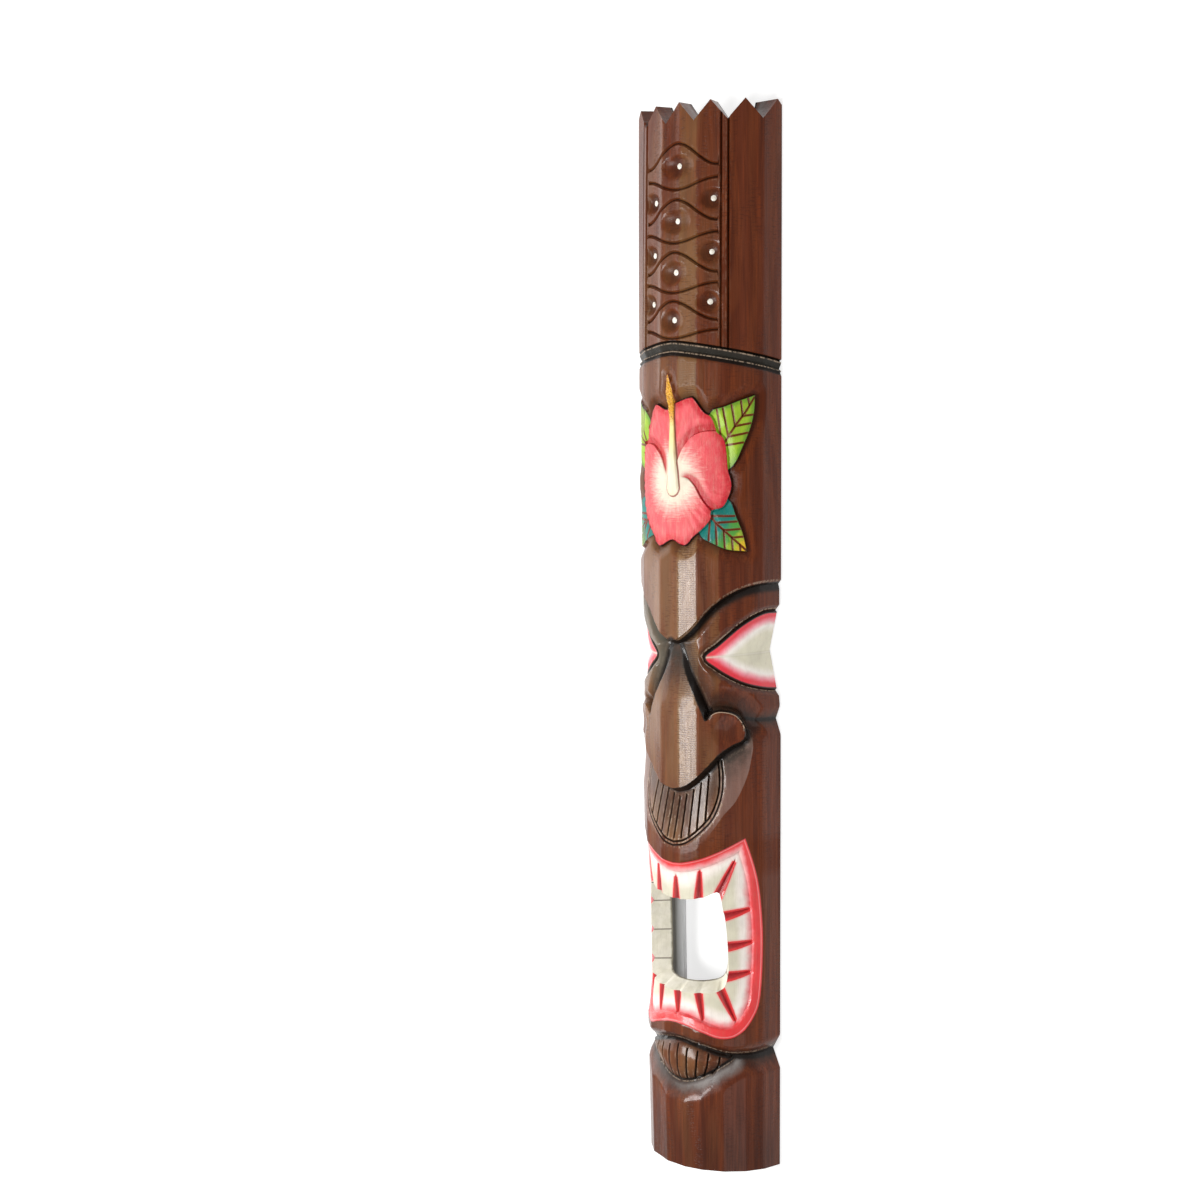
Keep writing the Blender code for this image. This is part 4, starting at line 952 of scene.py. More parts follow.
@dataclass
class MouthCarving:
    """Open mouth with its lip band and the wedge cuts between the teeth."""

    band: float = 0.0085
    edge: float = 0.0016
    sink: float = 0.0048
    gap_width: float = 0.0095
    gap_depth: float = 0.0036
    flare: float = 0.0090
    left_reach: float = 1.06

    def __post_init__(self) -> None:
        """Draw the lip, the opening and the cuts between the teeth."""
        self.lip_path = np.vstack([
            curve([(0.0, 0.2948), (0.117, 0.2965), (0.293, 0.3023), (0.467, 0.3110),
                   (0.650, 0.3215)]),
            curve([(0.650, 0.3215), (0.727, 0.2961), (0.773, 0.2747), (0.800, 0.2466),
                   (0.809, 0.2219), (0.800, 0.1891), (0.775, 0.1630), (0.724, 0.1493),
                   (0.633, 0.1368), (0.528, 0.1299), (0.396, 0.1296), (0.276, 0.1336),
                   (0.114, 0.1387), (0.0, 0.1400)])[1:]])
        self.lip = Region(self.lip_path)
        self.opening = curve([
            (0.0, 0.2590), (0.145, 0.2605), (0.273, 0.2632), (0.395, 0.2690),
            (0.438, 0.2640), (0.455, 0.2537), (0.480, 0.2400), (0.497, 0.2200),
            (0.505, 0.2030), (0.500, 0.1900), (0.470, 0.1790), (0.420, 0.1740),
            (0.300, 0.1715), (0.15, 0.1700), (0.0, 0.1695)], 0.0030)
        ends = (((0.000, 0.2819), (0.000, 0.2590)), ((0.250, 0.2895), (0.236, 0.2630)),
                ((0.566, 0.2994), (0.424, 0.2680)), ((0.710, 0.2529), (0.465, 0.2462)),
                ((0.728, 0.2211), (0.491, 0.2170)), ((0.712, 0.1923), (0.500, 0.1885)),
                ((0.567, 0.1448), (0.435, 0.1745)), ((0.262, 0.1445), (0.224, 0.1710)),
                ((0.000, 0.1488), (0.000, 0.1700)))
        self.gaps = []
        for outer, inner in ends:
            for side in (-1.0, 1.0):
                start, end = at(side * inner[0], inner[1]), at(side * outer[0], outer[1])
                start = start + (start - end) * 0.12
                path = resample(np.array([start, end]), 0.004)
                self.gaps.append(Groove(path, self.gap_width, self.gap_depth,
                                        self.gap_width * 0.25, self.gap_depth * 0.4))
                if outer[0] == 0.0:
                    break

    def loop(self) -> Points:
        """Closed border of the opening."""
        loop = both_sides(self.opening)[:-1]
        loop[:, 0] *= np.where(loop[:, 0] < 0.0, self.left_reach, 1.0)
        return loop

    def flared(self, points: Points) -> Points:
        """Edge of the opening on the hollow side, higher along its foot."""
        low = unit((0.205 - points[:, 1] / LENGTH) / 0.03)
        return points + np.column_stack([np.zeros(len(points)), self.flare * low])

    def carve(self, points: Points, folded: Points) -> Marks:
        """Marks of the lip and the teeth."""
        lip = -self.lip.signed(folded)
        marks = Marks.clean(len(points))
        steps = [0.0, self.edge, self.band, self.band + self.edge]
        depths = [0.0, self.sink * 0.25, self.sink * 0.55, self.sink]
        marks.depth = np.interp(lip, steps, depths)
        for gap in self.gaps:
            depth, _, _ = gap.measure(points)
            marks.depth = marks.depth + depth
        return marks

    def red_gap(self, points: Points) -> Values:
        """Distance inside the red wedge cuts, in metres."""
        best = np.full(len(points), -0.02)
        for gap in self.gaps:
            distance, share = path_distance(points, gap.path, 0.03)
            half = 0.5 * self.gap_width * (1.06 - 0.62 * share ** 1.5)
            best = np.maximum(best, np.where(share < 0.995, half, 0.0) - distance)
        return best

    def beyond_red(self, folded: Points) -> Values:
        """Distance from the lip's red band into the teeth, in metres."""
        side = folded[:, 0] / HALF_GIRTH
        upper = unit((folded[:, 1] - 0.268) / 0.02)
        upper = upper * unit((0.74 - side) / 0.12)
        return -self.lip.signed(folded) - (0.0085 - 0.0050 * upper)

    def lines(self) -> list[Points]:
        """Lines that the faces follow."""
        lip = both_sides(self.lip_path)
        found = [shifted(lip, -gap)
                 for gap in (0.0, self.edge, self.band, self.band + self.edge)]
        return found + [line for gap in self.gaps for line in gap.lines()]


@dataclass
class ChinCarving:
    """Notch under the mouth and the ribbed boss below it."""

    depth: float = 0.0110
    above: float = 0.0140
    below: float = 0.0180
    sink: float = 0.0020
    round_over: float = 0.0060
    cut: float = 0.0085
    halo: float = 0.020
    edge: float = 0.0016
    grooves: int = 9
    groove_width: float = 0.0026
    groove_depth: float = 0.0017

    def __post_init__(self) -> None:
        """Draw the notch and the boss on the sheet."""
        self.path = curve([
            (0.0, 0.1225), (0.080, 0.1219), (0.257, 0.1180), (0.388, 0.1141),
            (0.512, 0.1113), (0.644, 0.1106), (0.781, 0.1107), (1.02, 0.1135)])
        self.boss_path = curve([
            (0.530, 0.1085), (0.419, 0.1012), (0.305, 0.0938), (0.171, 0.0872),
            (0.056, 0.0842), (0.0, 0.0838)], 0.0030)
        self.region = Region(self.path, [at(1.02, 0.0), at(0.0, 0.0)])
        self.boss = Region(self.boss_path, [at(0.0, 0.124), at(0.30, 0.119), at(0.535, 0.111)])
        self.ribs = []
        for k in range(self.grooves):
            spread = 2.0 * (k + 0.5) / self.grooves - 1.0
            top = (0.47 * spread, 0.1170 - 0.008 * abs(spread))
            middle = (0.45 * spread, 0.1010)
            foot = (0.38 * spread, 0.0850 + 0.010 * spread * spread)
            path = curve([top, middle, foot], 0.006)
            self.ribs.append(Groove(path, self.groove_width, self.groove_depth))

    def measure(self, folded: Points) -> dict[str, Values]:
        """Distances below the notch line and outside the boss."""
        return {"chin": -self.region.signed(folded), "boss": self.boss.signed(folded)}

    def lines_from(self, folded: Points, gaps: dict) -> dict[str, Values]:
        """Black lines of the chin, each as -1 to 1 across its width."""
        half = 1.2 + 2.6 * unit(folded[:, 0] / HALF_GIRTH)
        boss = np.where(gaps["chin"] > -0.001, gaps["boss"], 0.02)
        return {"chin_line": (gaps["chin"] * 1000.0 - 0.3) / half,
                "boss_line": (boss * 1000.0 - 0.5) / 1.3}

    def carve(self, points: Points, folded: Points, gaps: dict) -> Marks:
        """Marks of the notch and the boss.

        Args:
            points: Sheet points.
            folded: The same points folded over to one half.
            gaps: The distances from measure.

        Returns:
            Depth, stained lines and light edges, partly rubbed and partly painted highlight.
        """
        side = folded[:, 0] / HALF_GIRTH
        chin, boss = gaps["chin"], gaps["boss"]
        up = unit(1.0 + chin / (self.above * (0.45 + 0.55 * unit(side))))
        down = unit(1.0 - chin / self.below)
        deep = self.depth * (1.0 - 0.25 * unit(side))
        notch = deep * np.where(chin < 0.0, up, down)
        steps = [0.0, self.edge, self.halo]
        halo = np.interp(boss, steps, [0.85, 1.0, 0.0]) * self.cut
        depth = np.maximum(notch, np.where(chin > 0.0, halo, 0.0))
        inward = unit(np.minimum(-boss, chin) / (self.round_over * 2.2))
        dome = self.sink + self.round_over * (1.0 - np.sqrt(inward))
        depth = np.where(boss < 0.0, np.minimum(dome, depth + self.cut), depth)
        marks = Marks(depth, np.zeros(len(points)), np.zeros(len(points)))
        for rib in self.ribs:
            marks.groove(rib, points, wear_and_highlight=0.6)
        return marks

    def wash_and_shade(self, folded: Points, gaps: dict) -> Values:
        """How dark the notch and the ground round the boss are made: partly a dark stain,
        partly painted shade.
        """
        chin, boss = gaps["chin"], gaps["boss"]
        notch = fall(chin, 0.017) * np.where(chin < 0.0, 0.8, 0.9)
        round_boss = fall(boss, 0.022) * (chin > 0.0) * (boss > 0.0)
        return np.maximum(notch * (boss > 0.0), round_boss)

    def lines(self) -> list[Points]:
        """Lines that the faces follow."""
        chin = both_sides(self.path)
        found = [shifted(chin, gap) for gap in (0.0, self.above * 0.7, -self.below)]
        for distance in (0.0, self.edge, -self.round_over):
            half = shifted(self.boss_path, distance)
            found += [half, mirrored(half)]
        return found + [line for rib in self.ribs for line in rib.lines()]


BAND = BandCarving()


class Zone(Enum):
    """Parts of the body that have a finish of their own."""

    WOOD = 0
    EYE = 1
    TEETH = 2
    FLOWER = 3
    PISTIL = 4
    LEAF = 5
    MOUTH_WALL = 6
    HOLLOW = 7


@dataclass
class FacetPlan:
    """Long flats that the drawknife left down the log."""

    edges: tuple[float, ...] = (-1.0, -0.80, -0.60, -0.40, -0.13, 0.08, 0.25, 0.45,
                                0.64, 0.82, 1.0)
    # Painted light of each flat: lighter on the flats facing the left, brightest on the painted
    # highlight just right of the middle, darker on the right.
    lit_tones: tuple[float, ...] = (0.50, 0.45, 0.50, 0.56, 0.50, 0.90, 0.46, 0.24, 0.26, 0.28)
    sag: float = 0.0011
    span: float = 0.025

    def measure(self, points: Points) -> tuple[Values, Values]:
        """Depth of the flats below the round of the log, and the painted light on each."""
        edges = np.array(self.edges) * HALF_GIRTH
        index = np.clip(np.searchsorted(edges, points[:, 0]) - 1, 0, len(edges) - 2)
        width = edges[index + 1] - edges[index]
        share = unit((points[:, 0] - edges[index]) / width)
        depth = self.sag * (width / self.span) ** 2 * (1.0 - (2.0 * share - 1.0) ** 2)
        return depth, np.array(self.lit_tones)[index]

    def columns(self, per_facet: int) -> Values:
        """Sheet positions of the edges of the flats and of points between them."""
        edges = np.array(self.edges) * HALF_GIRTH
        parts = [np.linspace(a, b, max(int(round((b - a) / 0.0046)), per_facet) + 1)[:-1]
                 for a, b in zip(edges, edges[1:])]
        return np.concatenate(parts)[1:]


def placed(name: str, data: bpy.types.ID) -> bpy.types.Object:
    """Set a mesh, a light or a camera in the scene."""
    item = bpy.data.objects.new(name, data)
    bpy.context.scene.collection.objects.link(item)
    return item


class MaskBody:
    """The whole carved mask as one closed shell, with its marks and zones."""

    STEP = 0.0046

    def __init__(self) -> None:
        """Set up the carvings in the order of the mask, from the crown down."""
        self.crown = CrownCarving()
        self.flower = FlowerCarving()
        self.face = FaceCarving()
        self.mouth = MouthCarving()
        self.chin = ChinCarving()
        self.facets = FacetPlan()

    def carve(self, points: Points) -> tuple[Values, dict[str, Values]]:
        """Work out the depth of the carving and what the finishes read.

        Args:
            points: Sheet points.

        Returns:
            The depth below the log, and one value a point for each mark.
        """
        folded = np.column_stack([np.abs(points[:, 0]), points[:, 1]])
        gaps = self.face.measure(points, folded)
        chin_gaps = self.chin.measure(folded)
        crown = self.crown.carve(points)
        band = BAND.carve(points)
        parts = [self.face.carve(points, folded, gaps), self.mouth.carve(points, folded),
                 self.chin.carve(points, folded, chin_gaps), self.flower.carve(points)]
        carved = np.maximum.reduce([part.depth for part in parts])
        flats, tone = self.facets.measure(points)
        depth = crown.depth + band.depth + carved
        depth = depth + flats * unit(1.0 - carved / 0.002)
        everything = parts + [crown, band]
        # Dark valleys of the face and chin: partly a dark stain, partly painted shade.
        wash_and_shade = np.maximum(self.face.wash_and_shade(points, gaps), self.chin.wash_and_shade(folded, chin_gaps))
        below = BAND.below(points)
        # Painted shade under the corded band, fading down the forehead.
        wash_and_shade = np.maximum(wash_and_shade, 0.8 * fall(below - 0.006, 0.018) * (below > 0.0))
        distance, share = path_distance(points, self.flower.pistil, 0.03)
        leaf_in = np.full(len(points), -0.02)
        leaf_tone = np.zeros(len(points))
        vein = np.full(len(points), 0.01)
        for k, ((leaf, rib), veins) in enumerate(zip(self.flower.leaves, self.flower.veins)):
            inside = -leaf.signed(points)
            _, along = path_distance(points, rib, 0.08)
            teal = (0.0 if k % 2 == 0 else 1.0) * np.ones(len(points))
            here = inside > leaf_in
            leaf_in = np.maximum(leaf_in, inside)
            leaf_tone = np.where(here, teal + along * 0.999, leaf_tone)
            for groove in veins:
                vein = np.minimum(vein, path_distance(points, groove.path, 0.01)[0])
        offset = points - self.flower.heart
        # The flats' painted light is full from the foot of the nose up to the flower, fainter
        # towards the foot and the crown; the moustache and the boss take fixed values.
        tone = 0.34 + (tone - 0.34) * np.interp(
            points[:, 1] / LENGTH, [0.12, 0.31, 0.37, 0.62, 0.70, 0.79, 0.90],
            [0.10, 0.20, 1.0, 1.0, 0.8, 0.6, 0.3])
        furred = (gaps["plume"] < 0.0) & (gaps["nose"] > 0.0) & (points[:, 1] < 0.42)
        tone = np.where(furred, 0.56, tone)
        ribbed = (chin_gaps["boss"] < 0.0) & (chin_gaps["chin"] > 0.0)
        tone = np.where(ribbed, 0.50, tone)
        marks = {
            "line": np.maximum.reduce([part.line for part in everything]),
            "wear_and_highlight": np.maximum.reduce([part.wear_and_highlight for part in everything]), "wash_and_shade": wash_and_shade,
            "facet_light": tone, "below_band": below * 1000.0, "eye_in": -gaps["eye"] * 1000.0,
            "eye_crease": gaps["crease"] * 1000.0, "cut_depth": depth * 1000.0,
            "lip_tone": self.mouth.beyond_red(folded) * 1000.0,
            "lip_in": -self.mouth.lip.signed(folded) * 1000.0,
            "gap_in": self.mouth.red_gap(points) * 1000.0,
            "flower_in": -self.flower.flower.signed(points) * 1000.0,
            "petal_shade": self.flower.petals(points)[1],
            "heart_away": np.hypot(*offset.T) * 1000.0,
            "petal_turn": np.arctan2(offset[:, 1], offset[:, 0]),
            "pistil_in": (self.flower.pistil_half(share) - distance) * 1000.0,
            "pistil_share": share, "leaf_in": leaf_in * 1000.0, "leaf_tone": leaf_tone,
            "vein": vein * 1000.0, "sheet_s": points[:, 0] * 1000.0,
            "sheet_v": points[:, 1] * 1000.0}
        marks.update(self.face.lines_from(points, folded, gaps))
        marks.update(self.chin.lines_from(folded, chin_gaps))
        return depth, marks

    def lines(self) -> list[Points]:
        """Every line that the faces of the carved sheet follow."""
        found = []
        for part in (self.crown, BAND, self.flower, self.face, self.mouth, self.chin):
            found += part.lines()
        return found

    def border(self, step: float) -> Points:
        """Closed border of the sheet: foot, right side, crown and left side."""
        corners = [(-HALF_GIRTH, 0.0), (HALF_GIRTH, 0.0)]
        corners += [tuple(point) for point in self.crown.edge()]
        corners.append((-HALF_GIRTH, 0.0))
        pieces = [resample(np.array([a, b]), step)[:-1] for a, b in zip(corners, corners[1:])]
        return np.vstack(pieces)

    def lattice(self, taken: Points, step: float, clearance: float) -> Points:
        """Evenly spread sheet points, left out where a line already passes."""
        xs = self.facets.columns(2)
        ys = np.arange(step / 2, LENGTH, step)
        grid = np.array([(x, y) for y in ys for x in xs])
        busy = {(int(x // clearance), int(y // clearance)) for x, y in taken}
        keep = [(int(x // clearance), int(y // clearance)) not in busy for x, y in grid]
        return grid[np.array(keep)]

    def triangulate(self, loops: list, lines: list, extra: Points,
                    clear: float) -> tuple[Points, np.ndarray]:
        """Lay faces between the loops that follow all the lines.

        Args:
            loops: Outer border, then the borders of holes.
            lines: Paths that the edges of the faces must follow.
            extra: Loose points between them.
            clear: Distance under which points are joined.

        Returns:
            The corners and the faces.
        """
        points, edges = [], []
        for loop in loops:
            first, count = len(points), len(loop)
            points += [tuple(point) for point in loop]
            edges += [(first + k, first + (k + 1) % count) for k in range(count)]
        for line in lines:
            first = len(points)
            points += [tuple(point) for point in line]
            edges += [(first + k, first + k + 1) for k in range(len(line) - 1)]
        points += [tuple(point) for point in extra]
        flat = [Vector(point) for point in points]
        result = delaunay_2d_cdt(flat, edges, [], 0, clear)
        corners = np.array([tuple(point) for point in result[0]])
        faces = np.array([face for face in result[2] if len(face) == 3])
        middle = corners[faces].mean(axis=1)
        keep = is_inside(middle, loops[0])
        for hole in loops[1:]:
            keep &= ~is_inside(middle, hole)
        return corners, faces[keep]

    @staticmethod
    def refine(corners: Points, faces: np.ndarray) -> tuple[Points, np.ndarray]:
        """Cut each face into four, with new corners at the middles of edges."""
        edges = np.sort(np.vstack([faces[:, [k, (k + 1) % 3]] for k in range(3)]), axis=1)
        unique, back = np.unique(edges, axis=0, return_inverse=True)
        back = back.reshape(3, -1)
        ab, bc, ca = (len(corners) + back[k] for k in range(3))
        a, b, c = faces.T
        split = np.vstack([np.column_stack(part) for part in
                           ((a, ab, ca), (ab, b, bc), (ca, bc, c), (ab, bc, ca))])
        middles = corners[unique].mean(axis=1)
        return np.vstack([corners, middles]), split

    @staticmethod
    def rings(faces: np.ndarray) -> list[np.ndarray]:
        """Loops of corner numbers round the sheet and round its hole."""
        pairs = np.vstack([faces[:, [k, (k + 1) % 3]] for k in range(3)]).tolist()
        known = {tuple(pair) for pair in pairs}
        follow = {a: b for a, b in pairs if (b, a) not in known}
        loops = []
        while follow:
            start, current = next(iter(follow.items()))
            loop = [start]
            del follow[start]
            while current != start:
                loop.append(current)
                current = follow.pop(current)
            loops.append(np.array(loop))
        return sorted(loops, key=len, reverse=True)

    def zones(self, middles: Points) -> np.ndarray:
        """Choose the finish of each outside face from its middle.

        Args:
            middles: Middle of each face on the sheet.

        Returns:
            One zone number a face.
        """
        folded = np.column_stack([np.abs(middles[:, 0]), middles[:, 1]])
        zone = np.full(len(middles), Zone.WOOD.value)
        zone[self.mouth.lip.signed(folded) < 0.0] = Zone.TEETH.value
        zone[self.face.eye.signed(self.face.eye_place(middles)) < 0.0] = Zone.EYE.value
        for leaf, _ in self.flower.leaves:
            zone[leaf.signed(middles) < 0.0] = Zone.LEAF.value
        zone[self.flower.flower.signed(middles) < 0.0] = Zone.FLOWER.value
        distance, share = path_distance(middles, self.flower.pistil, 0.02)
        zone[distance < self.flower.pistil_half(share)] = Zone.PISTIL.value
        return zone

    def build(self, finishes: dict) -> bpy.types.Object:
        """Build the shell.

        Args:
            finishes: Material for each zone.

        Returns:
            The finished piece.
        """
        step, lines = self.STEP, self.lines()
        taken = np.vstack([resample(line, step / 3) for line in lines])
        corners, faces = self.triangulate(
            [self.border(step), self.mouth.loop()], lines,
            self.lattice(taken, step, step * 0.62), 0.00030)
        used, back = np.unique(faces, return_inverse=True)
        corners, faces = corners[used], back.reshape(faces.shape)
        log.info("sheet: %d corners, %d faces", len(corners), len(faces))
        corners, faces = self.refine(corners, faces)
        rings = self.rings(faces)
        depth, marks = self.carve(corners)
        front = LOG.outside(corners, depth)

        rims = [corners[rings[0]], self.mouth.flared(corners[rings[1]])]
        extra = self.lattice(np.vstack(rims), 0.012, 0.006)[::2]
        inner_corners, inner_faces = self.triangulate(rims, [], extra, 1e-6)
        first = len(front)
        walls, wall_zones = [], []
        for kind, ring, rim in zip((Zone.WOOD, Zone.MOUTH_WALL), rings, rims):
            partner = [first + int(np.hypot(*(inner_corners - point).T).argmin())
                       for point in rim]
            for k, a in enumerate(ring):
                b = ring[(k + 1) % len(ring)]
                c, d = partner[(k + 1) % len(ring)], partner[k]
                walls += [(b, a, d), (b, d, c)]
                wall_zones += [kind.value] * 2
        points = np.vstack([front, LOG.inside(inner_corners)])
        inner = inner_faces[:, ::-1] + first
        everything = np.vstack([faces, inner, np.array(walls)])
        zones = np.concatenate([self.zones(corners[faces].mean(axis=1)),
                                np.full(len(inner), Zone.HOLLOW.value), wall_zones])

        mesh = bpy.data.meshes.new("mask_body")
        mesh.from_pydata(points.tolist(), [], everything.tolist())
        for zone in Zone:
            mesh.materials.append(finishes[zone])
        mesh.polygons.foreach_set("material_index", zones.astype(np.int32))
        marks["wall_share"] = np.zeros(first)
        for name, values in marks.items():
            spread = np.full(len(points), float(name == "wall_share"), dtype=np.float32)
            spread[:first] = values
            if name in ("sheet_s", "sheet_v"):
                spread[first:] = inner_corners[:, int(name == "sheet_v")] * 1000.0
            layer = mesh.attributes.new(name, "FLOAT", "POINT")
            layer.data.foreach_set("value", spread)
        shell = bmesh.new()
        shell.from_mesh(mesh)
        bmesh.ops.recalc_face_normals(shell, faces=shell.faces)
        shell.to_mesh(mesh)
        shell.free()
        mesh.shade_smooth()
        mesh.set_sharp_from_angle(angle=math.radians(46.0))
        mesh.validate()
        log.info("mask_body: %d triangles", len(mesh.polygons))
        return placed("mask_body", mesh)


Socket = bpy.types.NodeSocket


class NodeKit:
    """A node tree with short ways to add and join its nodes."""

    def __init__(self, tree: bpy.types.NodeTree) -> None:
        """Keep the tree."""
        self.tree = tree

    def put(self, socket: Socket, value: object) -> None:
        """Join a socket to another or to a mark's name, or give it a value."""
        if isinstance(value, str) and socket.type == "VALUE":
            value = self.mark(value)
        if isinstance(value, bpy.types.NodeSocket):
            self.tree.links.new(value, socket)
        else:
            socket.default_value = value

    def wire(self, kind: str, inputs: object = (), **settings: object) -> bpy.types.NodeOutputs:
        """Add a node.

        Args:
            kind: Its type.
            inputs: Its inputs in their order, or by label.
            settings: Its properties.

        Returns:
            Its outputs.
        """
        node = self.tree.nodes.new(kind)
        for name, value in settings.items():
            setattr(node, name, value)
        pairs = inputs.items() if isinstance(inputs, dict) else enumerate(inputs)
        for label, value in pairs:
            self.put(node.inputs[label], value)
        return node.outputs

    def math(self, kind: str, *values: object, clamp: bool = False) -> Socket:
        """Add one step of arithmetic and give its result."""
        return self.wire("ShaderNodeMath", values, operation=kind, use_clamp=clamp)[0]

    def times(self, *values: object) -> Socket:
        """Multiply values with each other."""
        result = values[0]
        for value in values[1:]:
            result = self.math("MULTIPLY", result, value)
        return result

    def away(self, value: Socket, middle: float) -> Socket:
        """How far a value is from a middle one."""
        return self.math("ABSOLUTE", self.math("SUBTRACT", value, middle))

    def remap(self, value: Socket, low: float, high: float, start: float = 0.0,
              end: float = 1.0, smooth: bool = False) -> Socket:
        """Map a range of values to another range, held at its ends.

        Args:
            value: The value to map.
            low: Value that maps to the start.
            high: Value that maps to the end.
            start: Result at the low value.
            end: Result at the high value.
            smooth: True for a soft start and end.

        Returns:
            The mapped value.
        """
        return self.wire("ShaderNodeMapRange", (value, low, high, start, end),
                         interpolation_type="SMOOTHSTEP" if smooth else "LINEAR")[0]

    def mix(self, factor: object, first: object, second: object) -> Socket:
        """Mix two colours."""
        return self.wire("ShaderNodeMix", {0: factor, 6: first, 7: second}, data_type="RGBA")[2]

    def lay(self, tone: object, code: str, value: Socket, low: float, high: float,
            most: float = 1.0) -> Socket:
        """Lay a colour over a tone where a value says so.

        Args:
            tone: The colour below.
            code: The colour laid on it.
            value: What decides.
            low: Value at which nothing is laid.
            high: Value at which the most is laid.
            most: How much that is.

        Returns:
            The new colour.
        """
        return self.mix(self.remap(value, low, high, 0.0, most, True), tone, rgb(code))

    def layers(self, tone: object, *layers: tuple) -> Socket:
        """Lay several colours over a tone, each given as for lay."""
        for layer in layers:
            tone = self.lay(tone, *layer)
        return tone

    def mark(self, name: str) -> Socket:
        """Read one of the marks that the carving left on the surface."""
        return self.wire("ShaderNodeAttribute", attribute_name=name)["Fac"]

    def scaled(self, vector: Socket, scale: tuple[float, float, float]) -> Socket:
        """Stretch a place by a factor on each axis."""
        return self.wire("ShaderNodeVectorMath", (vector, scale), operation="MULTIPLY")[0]

    def place(self) -> Socket:
        """Place on the piece in millimetres."""
        return self.scaled(self.wire("ShaderNodeTexCoord")["Object"], (1000.0,) * 3)

    def joined(self, x: object, y: object, z: object = 0.0) -> Socket:
        """Make one vector of three values."""
        return self.wire("ShaderNodeCombineXYZ", (x, y, z))[0]

    def sheet_place(self) -> Socket:
        """Place on the unrolled surface in millimetres."""
        return self.joined("sheet_s", "sheet_v")

    def noise(self, vector: Socket, scale: tuple[float, float, float] | float = 1.0,
              detail: float = 2.0, rough: float = 0.5, warp: float = 0.0) -> Socket:
        """Add a soft random value.

        Args:
            vector: Place in millimetres.
            scale: Features in each millimetre, one for all axes or one each.
            detail: Number of finer layers.
            rough: Strength of the finer layers.
            warp: How much the pattern is bent by itself.

        Returns:
            The value, mostly between 0.3 and 0.7.
        """
        scales = (scale,) * 3 if isinstance(scale, float) else scale
        return self.wire("ShaderNodeTexNoise", {
            "Vector": self.scaled(vector, scales), "Scale": 1.0, "Detail": detail,
            "Roughness": rough, "Distortion": warp})[0]

    def shaken(self, value: Socket, scale: float, reach: float) -> Socket:
        """Move a value up and down by a soft random amount."""
        soft = self.math("SUBTRACT", self.noise(self.place(), scale, 3.0, 0.6), 0.5)
        return self.math("ADD", value, self.times(soft, reach))

    def group(self, tree: bpy.types.NodeTree, **values: object) -> dict:
        """Place a group, give its inputs and hand back its outputs."""
        named = {name.replace("_", " "): value for name, value in values.items()}
        outputs = self.wire("ShaderNodeGroup", named, node_tree=tree)
        return {socket.name: socket for socket in outputs}

    def dress(self, out: dict, color: Socket, rough: Socket, height: Socket,
              strength: float = 0.3, distance: float = 0.0004) -> None:
        """Join colour, roughness and relief to a shader.

        Args:
            out: The shader's inputs.
            color: Base colour.
            rough: Roughness.
            height: Relief that the bump turns into a normal.
            strength: How strongly the relief shows.
            distance: Height of the relief in metres.
        """
        bump = self.wire("ShaderNodeBump", {"Strength": strength, "Distance": distance,
                                            "Height": height})
        for label, value in (("Base Color", color), ("Roughness", rough), ("Normal", bump[0])):
            self.put(out[label], value)


def start_group(name: str, inputs: dict, outputs: dict) -> tuple[NodeKit, dict, dict]:
    """Start a shader node group.

    Args:
        name: Name of the group.
        inputs: Default value of each input, a number or a colour.
        outputs: Socket type of each output, without its first words.

    Returns:
        The node kit, the input sockets to read and the output sockets to fill.
    """
    tree = bpy.data.node_groups.new(name, "ShaderNodeTree")
    for label, value in inputs.items():
        kind = "NodeSocketFloat" if isinstance(value, float) else "NodeSocketColor"
        item = tree.interface.new_socket(label, in_out="INPUT", socket_type=kind)
        item.default_value = value
    for label, kind in outputs.items():
        tree.interface.new_socket(label, in_out="OUTPUT", socket_type="NodeSocket" + kind)
    entry = tree.nodes.new("NodeGroupInput").outputs
    leave = tree.nodes.new("NodeGroupOutput").inputs
    return NodeKit(tree), {label: entry[label] for label in inputs}, {
        label: leave[label] for label in outputs}


